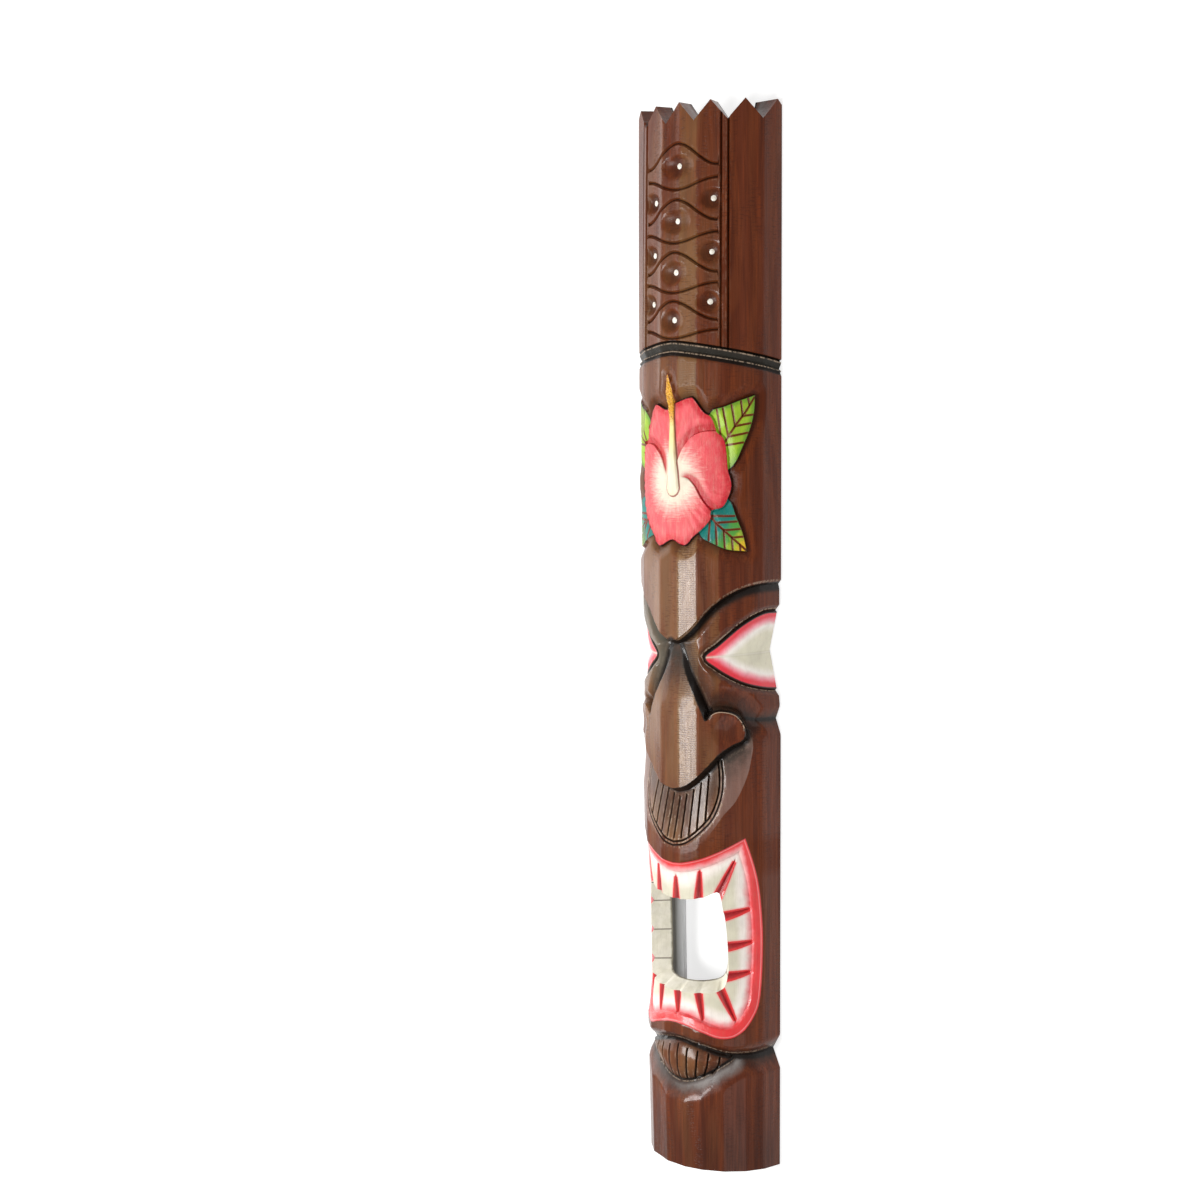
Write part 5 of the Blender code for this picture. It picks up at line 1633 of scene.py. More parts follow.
class SharedEffects:
    """Node groups that several finishes of the mask use."""

    def __init__(self) -> None:
        """Build each group once."""
        self.grain = self.make_grain()
        self.chisel = self.make_chisel()
        self.paint = self.make_paint()

    def make_grain(self) -> bpy.types.NodeTree:
        """Build the wood's streaks, fibres and rings, which run along the log."""
        kit, reads, leave = start_group(
            "wood_grain", {"Fineness": 1.0},
            {"Streak": "Float", "Fibre": "Float", "Ring": "Float", "Glow": "Float"})
        place = kit.wire("ShaderNodeVectorMath", {
            0: kit.place(), "Scale": reads["Fineness"]}, operation="SCALE")[0]
        streak = kit.noise(place, (0.13, 0.0055, 0.13), 4.0, 0.62, 0.35)
        kit.put(leave["Streak"], kit.remap(streak, 0.34, 0.66))
        fibre = kit.noise(place, (0.95, 0.022, 0.95), 3.0, 0.6)
        kit.put(leave["Fibre"], kit.remap(fibre, 0.36, 0.66))
        glow = kit.noise(place, (0.34, 0.011, 0.34), 3.0, 0.6, 0.5)
        kit.put(leave["Glow"], kit.remap(glow, 0.52, 0.70))
        x, _, z = kit.wire("ShaderNodeSeparateXYZ", (place,))
        deep = kit.math("ADD", z, 46.0)
        radius = kit.math("SQRT", kit.math("ADD", kit.times(deep, deep), kit.times(x, x)))
        waver = kit.noise(place, (0.020, 0.0030, 0.020), 2.0, 0.5)
        swayed = kit.math("ADD", radius, kit.times(waver, 34.0))
        wave = kit.math("SINE", kit.times(swayed, 1.15))
        kit.put(leave["Ring"], kit.remap(wave, -0.6, 1.0, smooth=True))
        return kit.tree

    def make_chisel(self) -> bpy.types.NodeTree:
        """Build the short nicks and shallow flats that the tools left."""
        kit, reads, leave = start_group("chisel_marks", {"Amount": 1.0},
                                        {"Nick": "Float", "Height": "Float"})
        place = kit.sheet_place()
        across = kit.noise(place, (0.13, 0.85, 1.0), 1.0, 0.5)
        cuts = kit.remap(across, 0.54, 0.64)
        patches = kit.noise(place, (0.060, 0.014, 1.0), 2.0, 0.5)
        nick = kit.math("MULTIPLY", kit.times(cuts, kit.remap(patches, 0.46, 0.58)),
                        reads["Amount"], clamp=True)
        kit.put(leave["Nick"], nick)
        flats = kit.noise(place, (0.10, 0.045, 1.0), 1.0, 0.4)
        kit.put(leave["Height"], kit.math("SUBTRACT", kit.times(flats, 1.6),
                                          kit.times(nick, 0.5)))
        return kit.tree

    def make_paint(self) -> bpy.types.NodeTree:
        """Build a thin coat of paint that lets the wood's fibres show through."""
        kit, reads, leave = start_group(
            "thin_paint", {"Paint": rgb("ddd6c0"), "Under": rgb("8a6a4c"), "Thinness": 0.35},
            {"Color": "Color", "Height": "Float", "Roughness": "Float"})
        grain = kit.group(self.grain, Fineness=1.4)
        place = kit.place()
        blot = kit.noise(place, (0.22, 0.07, 0.22), 3.0, 0.6)
        bare = kit.times(grain["Fibre"], kit.remap(blot, 0.42, 0.66))
        bare = kit.math("MULTIPLY", bare, reads["Thinness"], clamp=True)
        color = kit.mix(bare, reads["Paint"], reads["Under"])
        shade = kit.remap(kit.noise(place, 0.06), 0.3, 0.7, 0.90, 1.05)
        kit.put(leave["Color"], kit.wire(
            "ShaderNodeVectorMath", {0: color, "Scale": shade}, operation="SCALE")[0])
        strokes = kit.noise(place, (0.9, 0.09, 0.9), 2.0, 0.6)
        height = kit.math("ADD", kit.times(strokes, 0.8), grain["Fibre"])
        kit.put(leave["Height"], height)
        kit.put(leave["Roughness"], kit.remap(height, 0.2, 1.4, 0.26, 0.44))
        return kit.tree


def start_finish(name: str, **values: float) -> tuple[bpy.types.Material, NodeKit, dict]:
    """Start a material.

    Args:
        name: Name of the finish.
        values: Constant values of the shader, with spaces as underscores.

    Returns:
        The material, its node kit and the shader's inputs.
    """
    material = bpy.data.materials.new(name)
    material.use_nodes = True
    kit = NodeKit(material.node_tree)
    shader = material.node_tree.nodes["Principled BSDF"]
    for label, value in values.items():
        shader.inputs[label.replace("_", " ")].default_value = value
    return material, kit, shader.inputs


@dataclass(frozen=True)
class StainedWood:
    """Red-brown gloss stain over planed flats, with painted light on the flats, blackish stain
    and painted shade in the cuts, and a painted reflection under the chin.
    """

    deep: str = "3c1607"
    middle: str = "6a2f15"
    light: str = "8c4a25"
    glow: str = "9c4616"
    # Painted light: tan on the flats facing the left, pale for the painted highlight on the
    # flat right of the middle.
    tan: str = "86633c"
    pale: str = "a78a69"
    # Dark of the valleys: partly stain, partly painted shade.
    stain_and_shade: str = "2a2822"
    seam: str = "17100c"
    # Light edges beside the cuts: rubbed stain and painted highlights.
    worn_and_lit: str = "b79f88"

    def seams(self, kit: NodeKit) -> Socket:
        """Black lines along the main cuts, crisp on one side and soft on the other."""
        found = kit.remap("line", 0.05, 0.66, 0.0, 0.95, True)
        for name, soft in (("brow_line", 2.3), ("nose_line", 2.6), ("eye_line", 1.5),
                           ("chin_line", 1.9), ("boss_line", 1.8)):
            value = kit.shaken(name, 0.35, 0.5)
            line = kit.times(kit.remap(value, -1.15, -0.80),
                             kit.remap(value, 0.35, soft, 1.0, 0.0, True))
            found = kit.math("MAXIMUM", found, line)
        # Painted shade: soft dark along the lid groove.
        lid = kit.remap("lid_line", 0.3, 3.6, 0.85, 0.0, True)
        return kit.math("MAXIMUM", found, lid)

    def rubbed_and_lit_edges(self, kit: NodeKit) -> Socket:
        """Thin light lines beside the cuts: stain rubbed off the edges, and painted highlights
        along them.
        """
        found = kit.mark("wear_and_highlight")
        for name, middle, half, most in (
                ("brow_line", -1.35, 0.22, 0.5), ("eye_line", 1.55, 0.30, 0.8),
                ("nose_line", 2.1, 0.30, 0.2), ("chin_line", -1.4, 0.25, 0.5),
                ("boss_line", 1.6, 0.3, 0.5)):
            value = kit.away(name, middle)
            found = kit.math("MAXIMUM", found, kit.remap(value, half, 2.0 * half, most, 0.0))
        arc = kit.times("nostril_arc", kit.remap(kit.away(
            "nose_line", -1.6), 0.35, 0.7, 1.0, 0.0))
        fine = kit.noise(kit.place(), (0.5, 0.14, 0.5), 2.0, 0.6)
        broken = kit.remap(fine, 0.38, 0.56, 0.10, 0.95)
        return kit.math("MAXIMUM", kit.times(found, broken), arc)

    def make(self, shared: SharedEffects) -> bpy.types.Material:
        """Build the material."""
        material, kit, out = start_finish("stained_wood", Coat_Roughness=0.13,
                                          Specular_IOR_Level=0.13)
        grain = kit.group(shared.grain, Fineness=1.0)
        chisel = kit.group(shared.chisel, Amount=1.0)
        place = kit.place()
        tone = kit.mix(kit.remap(grain["Streak"], 0.0, 1.0, 0.38, 0.90),
                       rgb(self.deep), rgb(self.middle))
        tone = kit.layers(
            tone, (self.light, grain["Ring"], 0.1, 1.0, 0.16),
            (self.glow, grain["Glow"], 0.0, 1.0, 0.20),
            (self.deep, grain["Fibre"], 0.2, 1.0, 0.36))
        # Painted light on the planed flats: the flats facing the left are laid tan, the flat
        # just right of the middle gets a pale painted highlight streaked along the grain, and
        # the flats on the right keep the darker stain.
        uneven = kit.remap(kit.noise(place, (0.05, 0.012, 0.05), 2.0), 0.35, 0.62, 0.75, 1.0)
        facet_light = kit.times("facet_light", uneven)
        tone = kit.lay(tone, self.tan, facet_light, 0.28, 0.60, 0.58)
        streaks = kit.noise(place, (0.42, 0.012, 0.42), 3.0, 0.6)
        tone = kit.mix(kit.times(kit.remap(facet_light, 0.58, 0.90), kit.remap(
            streaks, 0.36, 0.62, 0.06, 0.50)), tone, rgb(self.pale))
        tone = kit.lay(tone, self.deep, chisel["Nick"], 0.0, 1.0, 0.38)
        lines = kit.math("SINE", kit.times(kit.shaken("sheet_v", 0.09, 3.0), 3.1))
        ticks = kit.times(kit.remap(lines, 0.0, 0.9), kit.remap(facet_light, 0.55, 0.80),
                          kit.remap(kit.noise(place, 0.14, 2.0), 0.36, 0.54))
        # Darker tool ticks on the highlighted flat, and painted shade that darkens the wood the
        # deeper it is cut.
        tone = kit.layers(
            tone, ("4e2f20", ticks, 0.0, 1.0, 0.72), ("2e170e", "cut_depth", 1.4, 6.5, 0.62))
        plane = kit.times(
            kit.remap(kit.shaken("scoop_in", 0.3, 0.6), 0.0, 0.6),
            kit.remap("sheet_v", 318.0, 350.0))
        tone = kit.mix(kit.times(plane, kit.remap(grain["Streak"], 0.0, 1.0, 0.5, 0.8)),
                       tone, rgb("8b7066"))
        below = kit.mark("below_band")
        on_band = kit.times(kit.remap(below, -0.9, 0.3), kit.remap(below, 10.6, 12.2, 1.0, 0.0))
        tone = kit.lay(tone, "262724", on_band, 0.0, 1.0, 0.93)
        cloud = kit.remap(kit.noise(place, 0.11, 3.0, 0.6), 0.30, 0.62, 0.55, 1.0)
        # Dark valleys, partly stain and partly painted shade, broken up by soft clouds.
        wash_and_shade = kit.times("wash_and_shade", cloud)
        tone = kit.lay(tone, self.stain_and_shade, wash_and_shade, 0.0, 1.0, 0.92)
        sheen = kit.times(
            kit.remap("sheet_s", -4.0, -20.0, 0.0, 0.62), kit.remap("brow_line", 0.2, 1.4),
            kit.remap("nose_line", -0.5, 0.8), kit.remap("eye_line", 1.5, 3.0),
            kit.remap("sheet_v", 450.0, 488.0))
        tone = kit.mix(sheen, tone, rgb("706f63"))
        # Painted reflection: a blue-grey sheen on the glossy slope below the chin's boss,
        # stronger towards the right.
        under = kit.mark("boss_line")
        chin_glare = kit.times(kit.remap(under, 1.2, 4.5), kit.remap(under, 5.0, 13.0, 1.0, 0.0),
                         kit.remap("sheet_s", -25.0, 32.0, 0.15, 1.0), cloud)
        tone = kit.layers(
            tone, ("8d8783", chin_glare, 0.0, 1.0, 0.75), ("22100a", "sheet_v", 75.0, 10.0, 0.35),
            # Light edges beside the cuts: rubbed stain and painted highlights.
            (self.worn_and_lit, self.rubbed_and_lit_edges(kit), 0.0, 1.0, 0.85),
            (self.seam, self.seams(kit), 0.0, 1.0, 0.97))
        high = kit.remap("sheet_v", 570.0, 600.0)
        dull = kit.times(high, kit.math(
            "MAXIMUM", kit.remap("cut_depth", 0.15, 1.2, 0.0, 0.92),
            kit.remap("flower_in", -19.0, -14.0, 0.0, 0.95)))
        lip_rim = kit.away("sheet_v", 303.0)
        dull = kit.math("MAXIMUM", dull, kit.remap(lip_rim, 22.0, 12.0, 0.0, 0.75))
        coat = kit.remap(grain["Fibre"], 0.0, 1.0, 0.40, 0.24)
        kit.put(out["Coat Weight"], kit.times(coat, kit.math("SUBTRACT", 1.0, dull)))
        height = kit.math("SUBTRACT", kit.math("ADD", chisel["Height"], kit.times(
            grain["Fibre"], 0.22)), kit.times(ticks, 0.5))
        kit.dress(out, tone, kit.remap(grain["Streak"], 0.0, 1.0, 0.38, 0.28), height,
                  0.45, 0.0006)
        return material


@dataclass(frozen=True)
class HollowWood:
    """Bare gouged wood of the hollow, brown and dull, with painted shade and painted light near
    the mouth.
    """

    deep: str = "33231a"
    light: str = "6f5540"

    def make(self, shared: SharedEffects) -> bpy.types.Material:
        """Build the material."""
        material, kit, out = start_finish("hollow_wood", Specular_IOR_Level=0.35)
        grain = kit.group(shared.grain, Fineness=0.8)
        chisel = kit.group(shared.chisel, Amount=0.6)
        tone = kit.mix(grain["Streak"], rgb(self.deep), rgb(self.light))
        tone = kit.layers(
            tone, (self.deep, grain["Fibre"], 0.0, 1.0, 0.4),
            ("8a6f55", chisel["Nick"], 0.0, 1.0, 0.5))
        # Painted shade and light about the mouth's height: dark grey deep in the hollow,
        # turning near-white towards the flat back, as if lit by the floor.
        near = kit.away(kit.shaken("sheet_v", 0.03, 20.0), 216.0)
        _, _, z = kit.wire("ShaderNodeSeparateXYZ", (kit.place(),))
        low = kit.remap(z, 21.0, 3.0)
        tone = kit.mix(kit.remap(near, 74.0, 44.0, 0.0, 0.9), tone, kit.mix(
            low, rgb("504f47"), rgb("eceeef")))
        scoops = kit.noise(kit.sheet_place(), (0.075, 0.022, 1.0), 1.0, 0.4, 0.6)
        height = kit.math("ADD", kit.times(scoops, 3.0), kit.times(grain["Fibre"], 0.3))
        kit.dress(out, tone, kit.remap(grain["Fibre"], 0.0, 1.0, 0.62, 0.82), height,
                  0.7, 0.0012)
        return material


@dataclass(frozen=True)
class AirbrushedEye:
    """Eye shaded from red at its rim through pink and white to cream."""

    cream: str = "e2dcc4"
    white: str = "fbf3ea"
    pink: str = "f792a0"
    red: str = "e72d40"

    def make(self, shared: SharedEffects) -> bpy.types.Material:
        """Build the material."""
        material, kit, out = start_finish("painted_eye", Coat_Weight=0.3, Coat_Roughness=0.15)
        inside = kit.shaken("eye_in", 0.09, 3.2)
        tone = kit.layers(
            rgb(self.red), (self.pink, inside, 3.6, 8.6), (self.white, inside, 6.8, 13.5),
            (self.cream, inside, 12.5, 20.0))
        # Painted shade along the eye's fold, with a thin painted highlight on the fold itself.
        crease = kit.mark("eye_crease")
        tone = kit.layers(
            tone, ("c2bba3", crease, 2.4, 0.0, 0.45), ("efe9dc", crease, 0.9, 0.3, 0.4))
        painted = kit.group(shared.paint, Paint=tone, Thinness=0.16)
        color = kit.lay(painted["Color"], "1a100d", "eye_in", 1.3, 0.5)
        kit.dress(out, color, painted["Roughness"], painted["Height"])
        return material


@dataclass(frozen=True)
class PaintedTeeth:
    """Cream teeth inside a red lip that fades to pink, with red wedges between them."""

    cream: str = "d6d0b8"
    white: str = "f3e9e0"
    pink: str = "ef8286"
    red: str = "e32c30"
    dark: str = "8c0f1c"

    def make(self, shared: SharedEffects) -> bpy.types.Material:
        """Build the material."""
        material, kit, out = start_finish("painted_teeth", Coat_Weight=0.45,
                                          Coat_Roughness=0.12)
        inside = kit.shaken("lip_tone", 0.10, 6.0)
        gap = kit.shaken("gap_in", 0.4, 0.5)
        tone = kit.layers(
            rgb(self.red), (self.pink, inside, -0.8, 3.2), (self.white, inside, 1.2, 10.0),
            (self.cream, inside, 10.0, 20.0), (self.pink, gap, -2.2, 0.2, 0.5),
            (self.red, "lip_tone", 0.2, -0.9), (self.red, gap, -0.35, 0.25),
            (self.dark, gap, 0.8, 3.2, 0.75),
            # Painted highlight: a thin light pink line just inside the lip's outer edge.
            ("f4a3a5", kit.away("lip_in", 1.6), 0.7, 0.1, 0.5))
        painted = kit.group(shared.paint, Paint=tone, Under=rgb("9a7a5e"), Thinness=0.18)
        color = kit.lay(painted["Color"], "5e1713", "lip_in", 0.6, 0.1, 0.8)
        kit.dress(out, color, painted["Roughness"], painted["Height"])
        return material


@dataclass(frozen=True)
class MouthWall:
    """Cut wall of the open mouth, cream at the front and brown behind."""

    cream: str = "efe9d8"
    shade: str = "e2dcc8"
    joints: tuple[float, ...] = (188.5, 217.0, 246.2, 265.0)

    def make(self, shared: SharedEffects) -> bpy.types.Material:
        """Build the material."""
        material, kit, out = start_finish("mouth_wall")
        cloud = kit.noise(kit.place(), 0.10, 3.0, 0.6)
        tone = kit.lay(rgb(self.cream), self.shade, cloud, 0.36, 0.64)
        for v in self.joints:
            away = kit.away("sheet_v", v)
            tone = kit.lay(tone, "5c4a38", away, 0.9, 0.3, 0.8)
        painted = kit.group(shared.paint, Paint=tone, Thinness=0.10)
        grain = kit.group(shared.grain, Fineness=1.0)
        behind = kit.shaken("wall_share", 0.10, 0.10)
        brown = kit.mix(grain["Streak"], rgb("54483a"), rgb("8a8472"))
        color = kit.mix(kit.remap(behind, 0.86, 0.97, smooth=True), painted["Color"], brown)
        kit.dress(out, color, kit.remap(cloud, 0.3, 0.7, 0.42, 0.6),
                  painted["Height"], 0.4, 0.0005)
        return material


@dataclass(frozen=True)
class PaintedFlower:
    """Petals from red at their rims to a cream heart, with radial strokes."""

    heart: str = "e6d9c3"
    pink: str = "e34b52"
    rim: str = "cb1a2a"
    line: str = "a3142a"

    def make(self, shared: SharedEffects) -> bpy.types.Material:
        """Build the material."""
        material, kit, out = start_finish("painted_flower", Coat_Weight=0.1,
                                          Coat_Roughness=0.25, Specular_IOR_Level=0.25)
        turn, reach = kit.mark("petal_turn"), kit.mark("heart_away")
        ring = kit.joined(kit.times(kit.math("COSINE", turn), 8.0),
                          kit.times(kit.math("SINE", turn), 8.0), kit.times(reach, 0.030))
        strokes = kit.noise(ring, 1.0, 4.0, 0.7)
        brush = kit.noise(kit.sheet_place(), (0.10, 0.75, 1.0), 2.0, 0.6)
        soft = kit.math("ADD", kit.times(kit.math("SUBTRACT", strokes, 0.5), 15.0),
                        kit.times(kit.math("SUBTRACT", brush, 0.5), 20.0))
        away = kit.math("ADD", reach, soft)
        tone = kit.layers(
            rgb(self.heart), ("eca79c", away, 18.0, 29.0), (self.pink, away, 25.0, 40.0))
        edge = kit.math("ADD", "flower_in", kit.times(soft, -0.25))
        tone = kit.lay(tone, self.rim, edge, 9.0, 2.0, 0.85)
        shade = kit.mark("petal_shade")
        tone = kit.layers(
            tone, ("bd0c1e", shade, 0.02, 0.28, 0.95), (self.line, shade, 0.74, 0.92))
        throat = kit.lay(rgb("e8b98a"), "f2d2b0", reach, 3.0, 9.0)
        tone = kit.mix(kit.remap(reach, 3.5, 9.0, 0.6, 0.0, True), tone, throat)
        foot = kit.away("pistil_in", -0.3)
        tone = kit.lay(tone, "8f3026", foot, 0.9, 0.3, 0.85)
        painted = kit.group(shared.paint, Paint=tone, Under=rgb("e2b7a0"), Thinness=0.3)
        color = kit.lay(painted["Color"], "7c1420", "flower_in", 0.7, 0.1, 0.9)
        height = kit.math("ADD", painted["Height"], kit.times(strokes, 1.6))
        kit.dress(out, color, kit.remap(strokes, 0.3, 0.7, 0.32, 0.48), height, 0.4, 0.0005)
        return material


@dataclass(frozen=True)
class PaintedPistil:
    """Pale yellow column with a golden, grainy head."""

    column: str = "efd98f"
    head: str = "e3a41c"

    def make(self, shared: SharedEffects) -> bpy.types.Material:
        """Build the material."""
        material, kit, out = start_finish("painted_pistil", Coat_Roughness=0.25)
        share = kit.mark("pistil_share")
        speck = kit.noise(kit.place(), 0.75, 2.0, 0.6)
        tone = kit.lay(rgb(self.column), "f0e4c8", share, 0.52, 0.12, 0.95)
        on_head = kit.remap(share, 0.52, 0.66)
        tone = kit.lay(tone, self.head, on_head, 0.0, 1.0)
        grains = kit.times(on_head, kit.remap(speck, 0.50, 0.62))
        tone = kit.lay(tone, "7c4212", grains, 0.0, 1.0, 0.85)
        painted = kit.group(shared.paint, Paint=tone, Under=rgb("a87c34"), Thinness=0.3)
        color = kit.lay(painted["Color"], "8a3220", "pistil_in", 0.9, 0.2, 0.9)
        kit.dress(out, color, kit.remap(speck, 0.3, 0.7, 0.36, 0.54), kit.times(
            speck, kit.math("ADD", on_head, 0.3)), 0.6, 0.0009)
        return material


@dataclass(frozen=True)
class PaintedLeaf:
    """Leaves in lime above, and in teal to yellow below, with brown veins."""

    lime: str = "9cc02c"
    moss: str = "5f9424"
    teal: str = "0e7a72"
    green: str = "4e9a3c"
    yellow: str = "efbe28"
    vein: str = "6f2a10"

    def make(self, shared: SharedEffects) -> bpy.types.Material:
        """Build the material."""
        material, kit, out = start_finish("painted_leaf", Coat_Weight=0.12, Coat_Roughness=0.25,
                                          Specular_IOR_Level=0.25)
        tone_mark, inside = kit.mark("leaf_tone"), kit.mark("leaf_in")
        along = kit.shaken(kit.math("FRACT", tone_mark), 0.12, 0.40)
        upper = kit.lay(rgb(self.lime), self.moss, kit.shaken(inside, 0.2, 5.0), 6.0, 1.0, 0.75)
        lower = kit.layers(
            rgb(self.teal), (self.green, along, 0.30, 0.62),
            ("b3c034", along, 0.62, 0.80, 0.8), (self.yellow, along, 0.76, 0.95))
        tone = kit.mix(kit.math("GREATER_THAN", tone_mark, 1.0), upper, lower)
        painted = kit.group(shared.paint, Paint=tone, Under=rgb("6a6a30"), Thinness=0.3)
        vein = kit.shaken("vein", 0.5, 0.5)
        color = kit.layers(
            painted["Color"], (self.vein, vein, 1.45, 0.75, 0.95),
            ("21160e", inside, 0.7, 0.2, 0.85))
        kit.dress(out, color, painted["Roughness"], painted["Height"], 0.35)
        return material


@dataclass(frozen=True)
class DotPaint:
    """Thick paint of the small dots and grains, a little uneven."""

    name: str
    main: str
    patch: str

    def make(self, shared: SharedEffects) -> bpy.types.Material:
        """Build the material."""
        material, kit, out = start_finish(self.name, Coat_Roughness=0.18)
        cloud = kit.noise(kit.place(), 0.55, 3.0, 0.6)
        tone = kit.lay(rgb(self.main), self.patch, cloud, 0.42, 0.68, 0.6)
        painted = kit.group(shared.paint, Paint=tone, Thinness=0.15)
        kit.dress(out, painted["Color"], kit.remap(cloud, 0.3, 0.7, 0.30, 0.46), cloud)
        return material


class Scatter:
    """A Geometry Nodes tree that sets one small form at many places."""

    def __init__(self, name: str, material: bpy.types.Material) -> None:
        """Start the tree with its inputs for size and flatness."""
        self.tree = bpy.data.node_groups.new(name, "GeometryNodeTree")
        kinds = dict.fromkeys(("Width", "Height", "Variation", "Count per area"), "Float")
        for label, kind in {"Places": "Geometry", **kinds}.items():
            self.tree.interface.new_socket(label, in_out="INPUT",
                                           socket_type="NodeSocket" + kind)
        self.tree.interface.new_socket("Grains", in_out="OUTPUT",
                                       socket_type="NodeSocketGeometry")
        self.kit = NodeKit(self.tree)
        self.material = material
        self.entry = self.tree.nodes.new("NodeGroupInput").outputs
        self.leave = self.tree.nodes.new("NodeGroupOutput").inputs

    def finish(self, points: Socket, out: Socket, roundness: int) -> None:
        """Set the small form on the points, turned to face out.

        Args:
            points: The points.
            out: Direction that each form faces.
            roundness: Subdivisions of the small form.
        """
        kit, spread = self.kit, self.entry["Variation"]
        form = kit.wire("GeometryNodeMeshIcoSphere",
                        {"Radius": 1.0, "Subdivisions": roundness})["Mesh"]
        turn = kit.wire("FunctionNodeAlignRotationToVector", {"Vector": out}, axis="Z")[0]
        vary = kit.wire("FunctionNodeRandomValue", {
            2: kit.math("SUBTRACT", 1.0, spread), 3: kit.math("ADD", 1.0, spread),
            "Seed": 11}, data_type="FLOAT")[1]
        size = kit.joined(*(kit.math("MULTIPLY", self.entry[label], vary)
                            for label in ("Width", "Width", "Height")))
        grown = kit.wire("GeometryNodeInstanceOnPoints", {
            "Points": points, "Instance": form, "Rotation": turn, "Scale": size})[0]
        real = kit.wire("GeometryNodeRealizeInstances", (grown,))[0]
        smooth = kit.wire("GeometryNodeSetShadeSmooth", {"Geometry": real})[0]
        kit.put(self.leave["Grains"], kit.wire("GeometryNodeSetMaterial", {
            "Geometry": smooth, "Material": self.material})[0])

    def bake(self, name: str, base: bpy.types.Mesh, values: dict) -> bpy.types.Object:
        """Run the tree on a base mesh and keep the result as a plain mesh.

        Args:
            name: Name of the finished piece.
            base: Mesh that the tree starts from.
            values: Value of each named input.

        Returns:
            The finished piece.
        """
        start = placed(name + "_places", base)
        modifier = start.modifiers.new("scatter", "NODES")
        modifier.node_group = self.tree
        for item in self.tree.interface.items_tree:
            if item.item_type == "SOCKET" and item.in_out == "INPUT" and item.name in values:
                modifier[item.identifier] = values[item.name]
        graph = bpy.context.evaluated_depsgraph_get()
        result = bpy.data.meshes.new_from_object(start.evaluated_get(graph))
        start.modifiers.remove(modifier)
        bpy.data.objects.remove(start, do_unlink=True)
        result.name = name
        log.info("%s: %d triangles", name, len(result.polygons))
        return placed(name, result)


@dataclass
class CrownDots:
    """Cream dots painted in the middle of the crown's gouges."""

    radius: float = 0.0029
    rise: float = 0.0007

    def build(self, body: MaskBody, material: bpy.types.Material) -> bpy.types.Object:
        """Build the dots.

        Args:
            body: The carved body that they sit on.
            material: Their paint.

        Returns:
            The finished piece.
        """
        middles = np.array([middle for middle, _, _ in body.crown.gouges()])
        middles[:, 1] += 0.0005
        places = LOG.outside(middles, body.carve(middles)[0])
        _, _, out_x, out_z = LOG.surface(middles)
        mesh = bpy.data.meshes.new("dot_places")
        mesh.from_pydata(places.tolist(), [], [])
        layer = mesh.attributes.new("face_out", "FLOAT_VECTOR", "POINT")
        out = np.column_stack([out_x, np.zeros(len(out_x)), out_z])
        layer.data.foreach_set("vector", out.astype(np.float32).ravel())
        scatter = Scatter("set_dots", material)
        out = scatter.kit.wire("GeometryNodeInputNamedAttribute", {"Name": "face_out"},
                               data_type="FLOAT_VECTOR")[0]
        scatter.finish(scatter.entry["Places"], out, 4)
        return scatter.bake("crown_dots", mesh, {
            "Width": self.radius, "Height": self.rise, "Variation": 0.06})


@dataclass
class PollenHead:
    """Grains on the head of the flower's pistil."""

    start: float = 0.66
    stop: float = 0.955
    grain: float = 0.00075
    density: float = 520000.0

    def build(self, body: MaskBody, material: bpy.types.Material) -> bpy.types.Object:
        """Build the grains.

        Args:
            body: The carved body that they sit on.
            material: Their paint.

        Returns:
            The finished piece.
        """
        path = resample(body.flower.pistil, 0.0015)
        share = np.linspace(0.0, 1.0, len(path))
        keep = (share > self.start) & (share < self.stop)
        side = (shifted(path, 1.0) - path)[keep]
        half = body.flower.pistil_half(share)[keep][:, None]
        rows = [path[keep] + side * half * k for k in (-0.8, -0.4, 0.0, 0.4, 0.8)]
        grid = np.vstack(rows)
        places = LOG.outside(grid, body.carve(grid)[0])
        count = int(keep.sum())
        starts = [row * count + k for row in range(len(rows) - 1) for k in range(count - 1)]
        mesh = bpy.data.meshes.new("pollen_places")
        mesh.from_pydata(places.tolist(), [],
                         [(a, a + count, a + count + 1, a + 1) for a in starts])
        mesh.update()
        if mesh.polygons[0].normal.z < 0.0:
            mesh.flip_normals()
        scatter = Scatter("set_pollen", material)
        spread = scatter.kit.wire("GeometryNodeDistributePointsOnFaces", {
            "Mesh": scatter.entry["Places"], "Density": scatter.entry["Count per area"],
            "Seed": 5}, distribute_method="RANDOM")
        scatter.finish(spread["Points"], spread["Normal"], 2)
        return scatter.bake("pollen_grains", mesh, {
            "Width": self.grain, "Height": self.grain * 0.8, "Variation": 0.3,
            "Count per area": self.density})


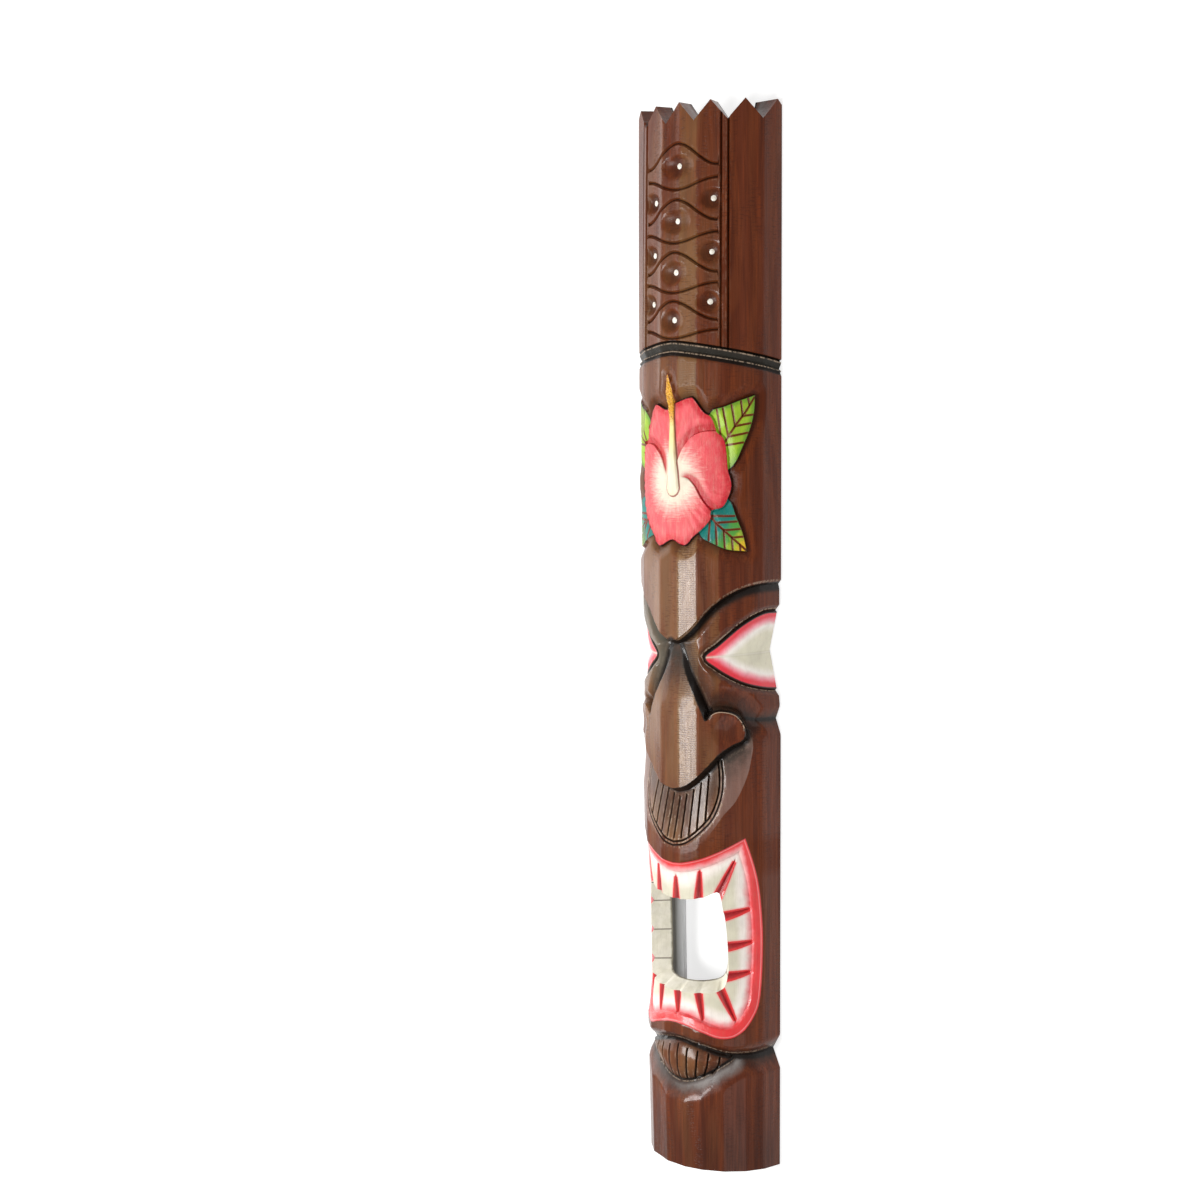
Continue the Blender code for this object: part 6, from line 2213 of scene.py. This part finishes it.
@dataclass
class Studio:
    """Pale floor, soft lights and the camera at the photograph's angle."""

    floor_half: float = 6.0
    key_power: float = 40.0
    left_power: float = 30.0
    fill_power: float = 8.0
    world_strength: float = 0.42
    lens: float = 61.93
    place: tuple[float, float, float] = (1.276504, 0.223940, 1.499947)

    def floor(self) -> bpy.types.Object:
        """Build the floor that the mask lies on."""
        half = self.floor_half
        mesh = bpy.data.meshes.new("floor")
        sides = ((-half, -half), (half, -half), (half, half), (-half, half))
        mesh.from_pydata([(x, y, -0.0006) for x, y in sides], [], [(0, 1, 2, 3)])
        material, kit, out = start_finish("pale_floor", Emission_Strength=0.74)
        cloud = kit.noise(kit.place(), 0.004, 2.0, 0.5)
        cloud = kit.remap(cloud, 0.3, 0.7)
        kit.put(out["Base Color"], kit.mix(cloud, rgb("a8a8a7"), rgb("acacac")))
        kit.put(out["Emission Color"], kit.mix(cloud, rgb("fbfbfb"), rgb("ffffff")))
        kit.put(out["Roughness"], kit.remap(cloud, 0.0, 1.0, 0.78, 0.86))
        mesh.materials.append(material)
        return placed("floor", mesh)

    def light(self, name: str, place: tuple, size: float, power: float) -> None:
        """Hang one soft square light that points at the mask."""
        data = bpy.data.lights.new(name, "AREA")
        data.shape = "SQUARE"
        data.size = size
        data.energy = power
        lamp = placed(name, data)
        lamp.location = place
        toward = Vector((0.0, 0.0, 0.05)) - Vector(place)
        lamp.rotation_euler = toward.to_track_quat("-Z", "Y").to_euler()

    def lights(self) -> None:
        """Hang the lights and set the pale surroundings."""
        self.light("key_light", (-0.56, -0.15, 2.10), 0.8, self.key_power)
        self.light("left_light", (-2.50, 0.30, 1.00), 1.8, self.left_power)
        self.light("fill_light", (1.9, -1.6, 1.5), 1.6, self.fill_power)
        world = bpy.data.worlds.new("pale_surroundings")
        world.use_nodes = True
        kit = NodeKit(world.node_tree)
        back = world.node_tree.nodes["Background"]
        back.inputs["Color"].default_value = rgb("ffffff")
        seen = kit.wire("ShaderNodeLightPath")["Is Camera Ray"]
        kit.put(back.inputs["Strength"], kit.remap(seen, 0.0, 1.0, self.world_strength, 0.97))
        bpy.context.scene.world = world
        bpy.context.scene.view_settings.view_transform = "Standard"

    def camera(self) -> None:
        """Set up the camera."""
        data = bpy.data.cameras.new("camera")
        data.sensor_width = 36.0
        data.lens = self.lens
        data.clip_end = 50.0
        camera = placed("camera", data)
        right = (0.7239662, -0.01295891, -0.68971372)
        up = (-0.05503222, 0.99555197, -0.07647047)
        back = (0.68763682, 0.09331851, 0.72003281)
        turn = Matrix((right, up, back)).transposed().to_4x4()
        camera.matrix_world = Matrix.Translation(self.place) @ turn
        bpy.context.scene.camera = camera


def main() -> None:
    """Build the mask, its painted marks and the studio round it."""
    logging.basicConfig(level=logging.INFO, format="%(message)s")
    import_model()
    shared = SharedEffects()
    kinds = {Zone.WOOD: StainedWood, Zone.EYE: AirbrushedEye, Zone.TEETH: PaintedTeeth,
             Zone.LEAF: PaintedLeaf, Zone.FLOWER: PaintedFlower,
             Zone.PISTIL: PaintedPistil, Zone.MOUTH_WALL: MouthWall, Zone.HOLLOW: HollowWood}
    carving = MaskBody()
    body = carving.build({zone: kind().make(shared) for zone, kind in kinds.items()})
    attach(body, "root")
    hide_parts("tiki_mask")
    cream = DotPaint("dot_paint", "f3efe4", "c9b79c").make(shared)
    gold = DotPaint("pollen_paint", "edb428", "a8600f").make(shared)
    for piece in (CrownDots().build(carving, cream), PollenHead().build(carving, gold)):
        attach(piece, "root")
    studio = Studio()
    studio.floor()
    studio.lights()
    studio.camera()
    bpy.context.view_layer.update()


if __name__ == "__main__":
    main()
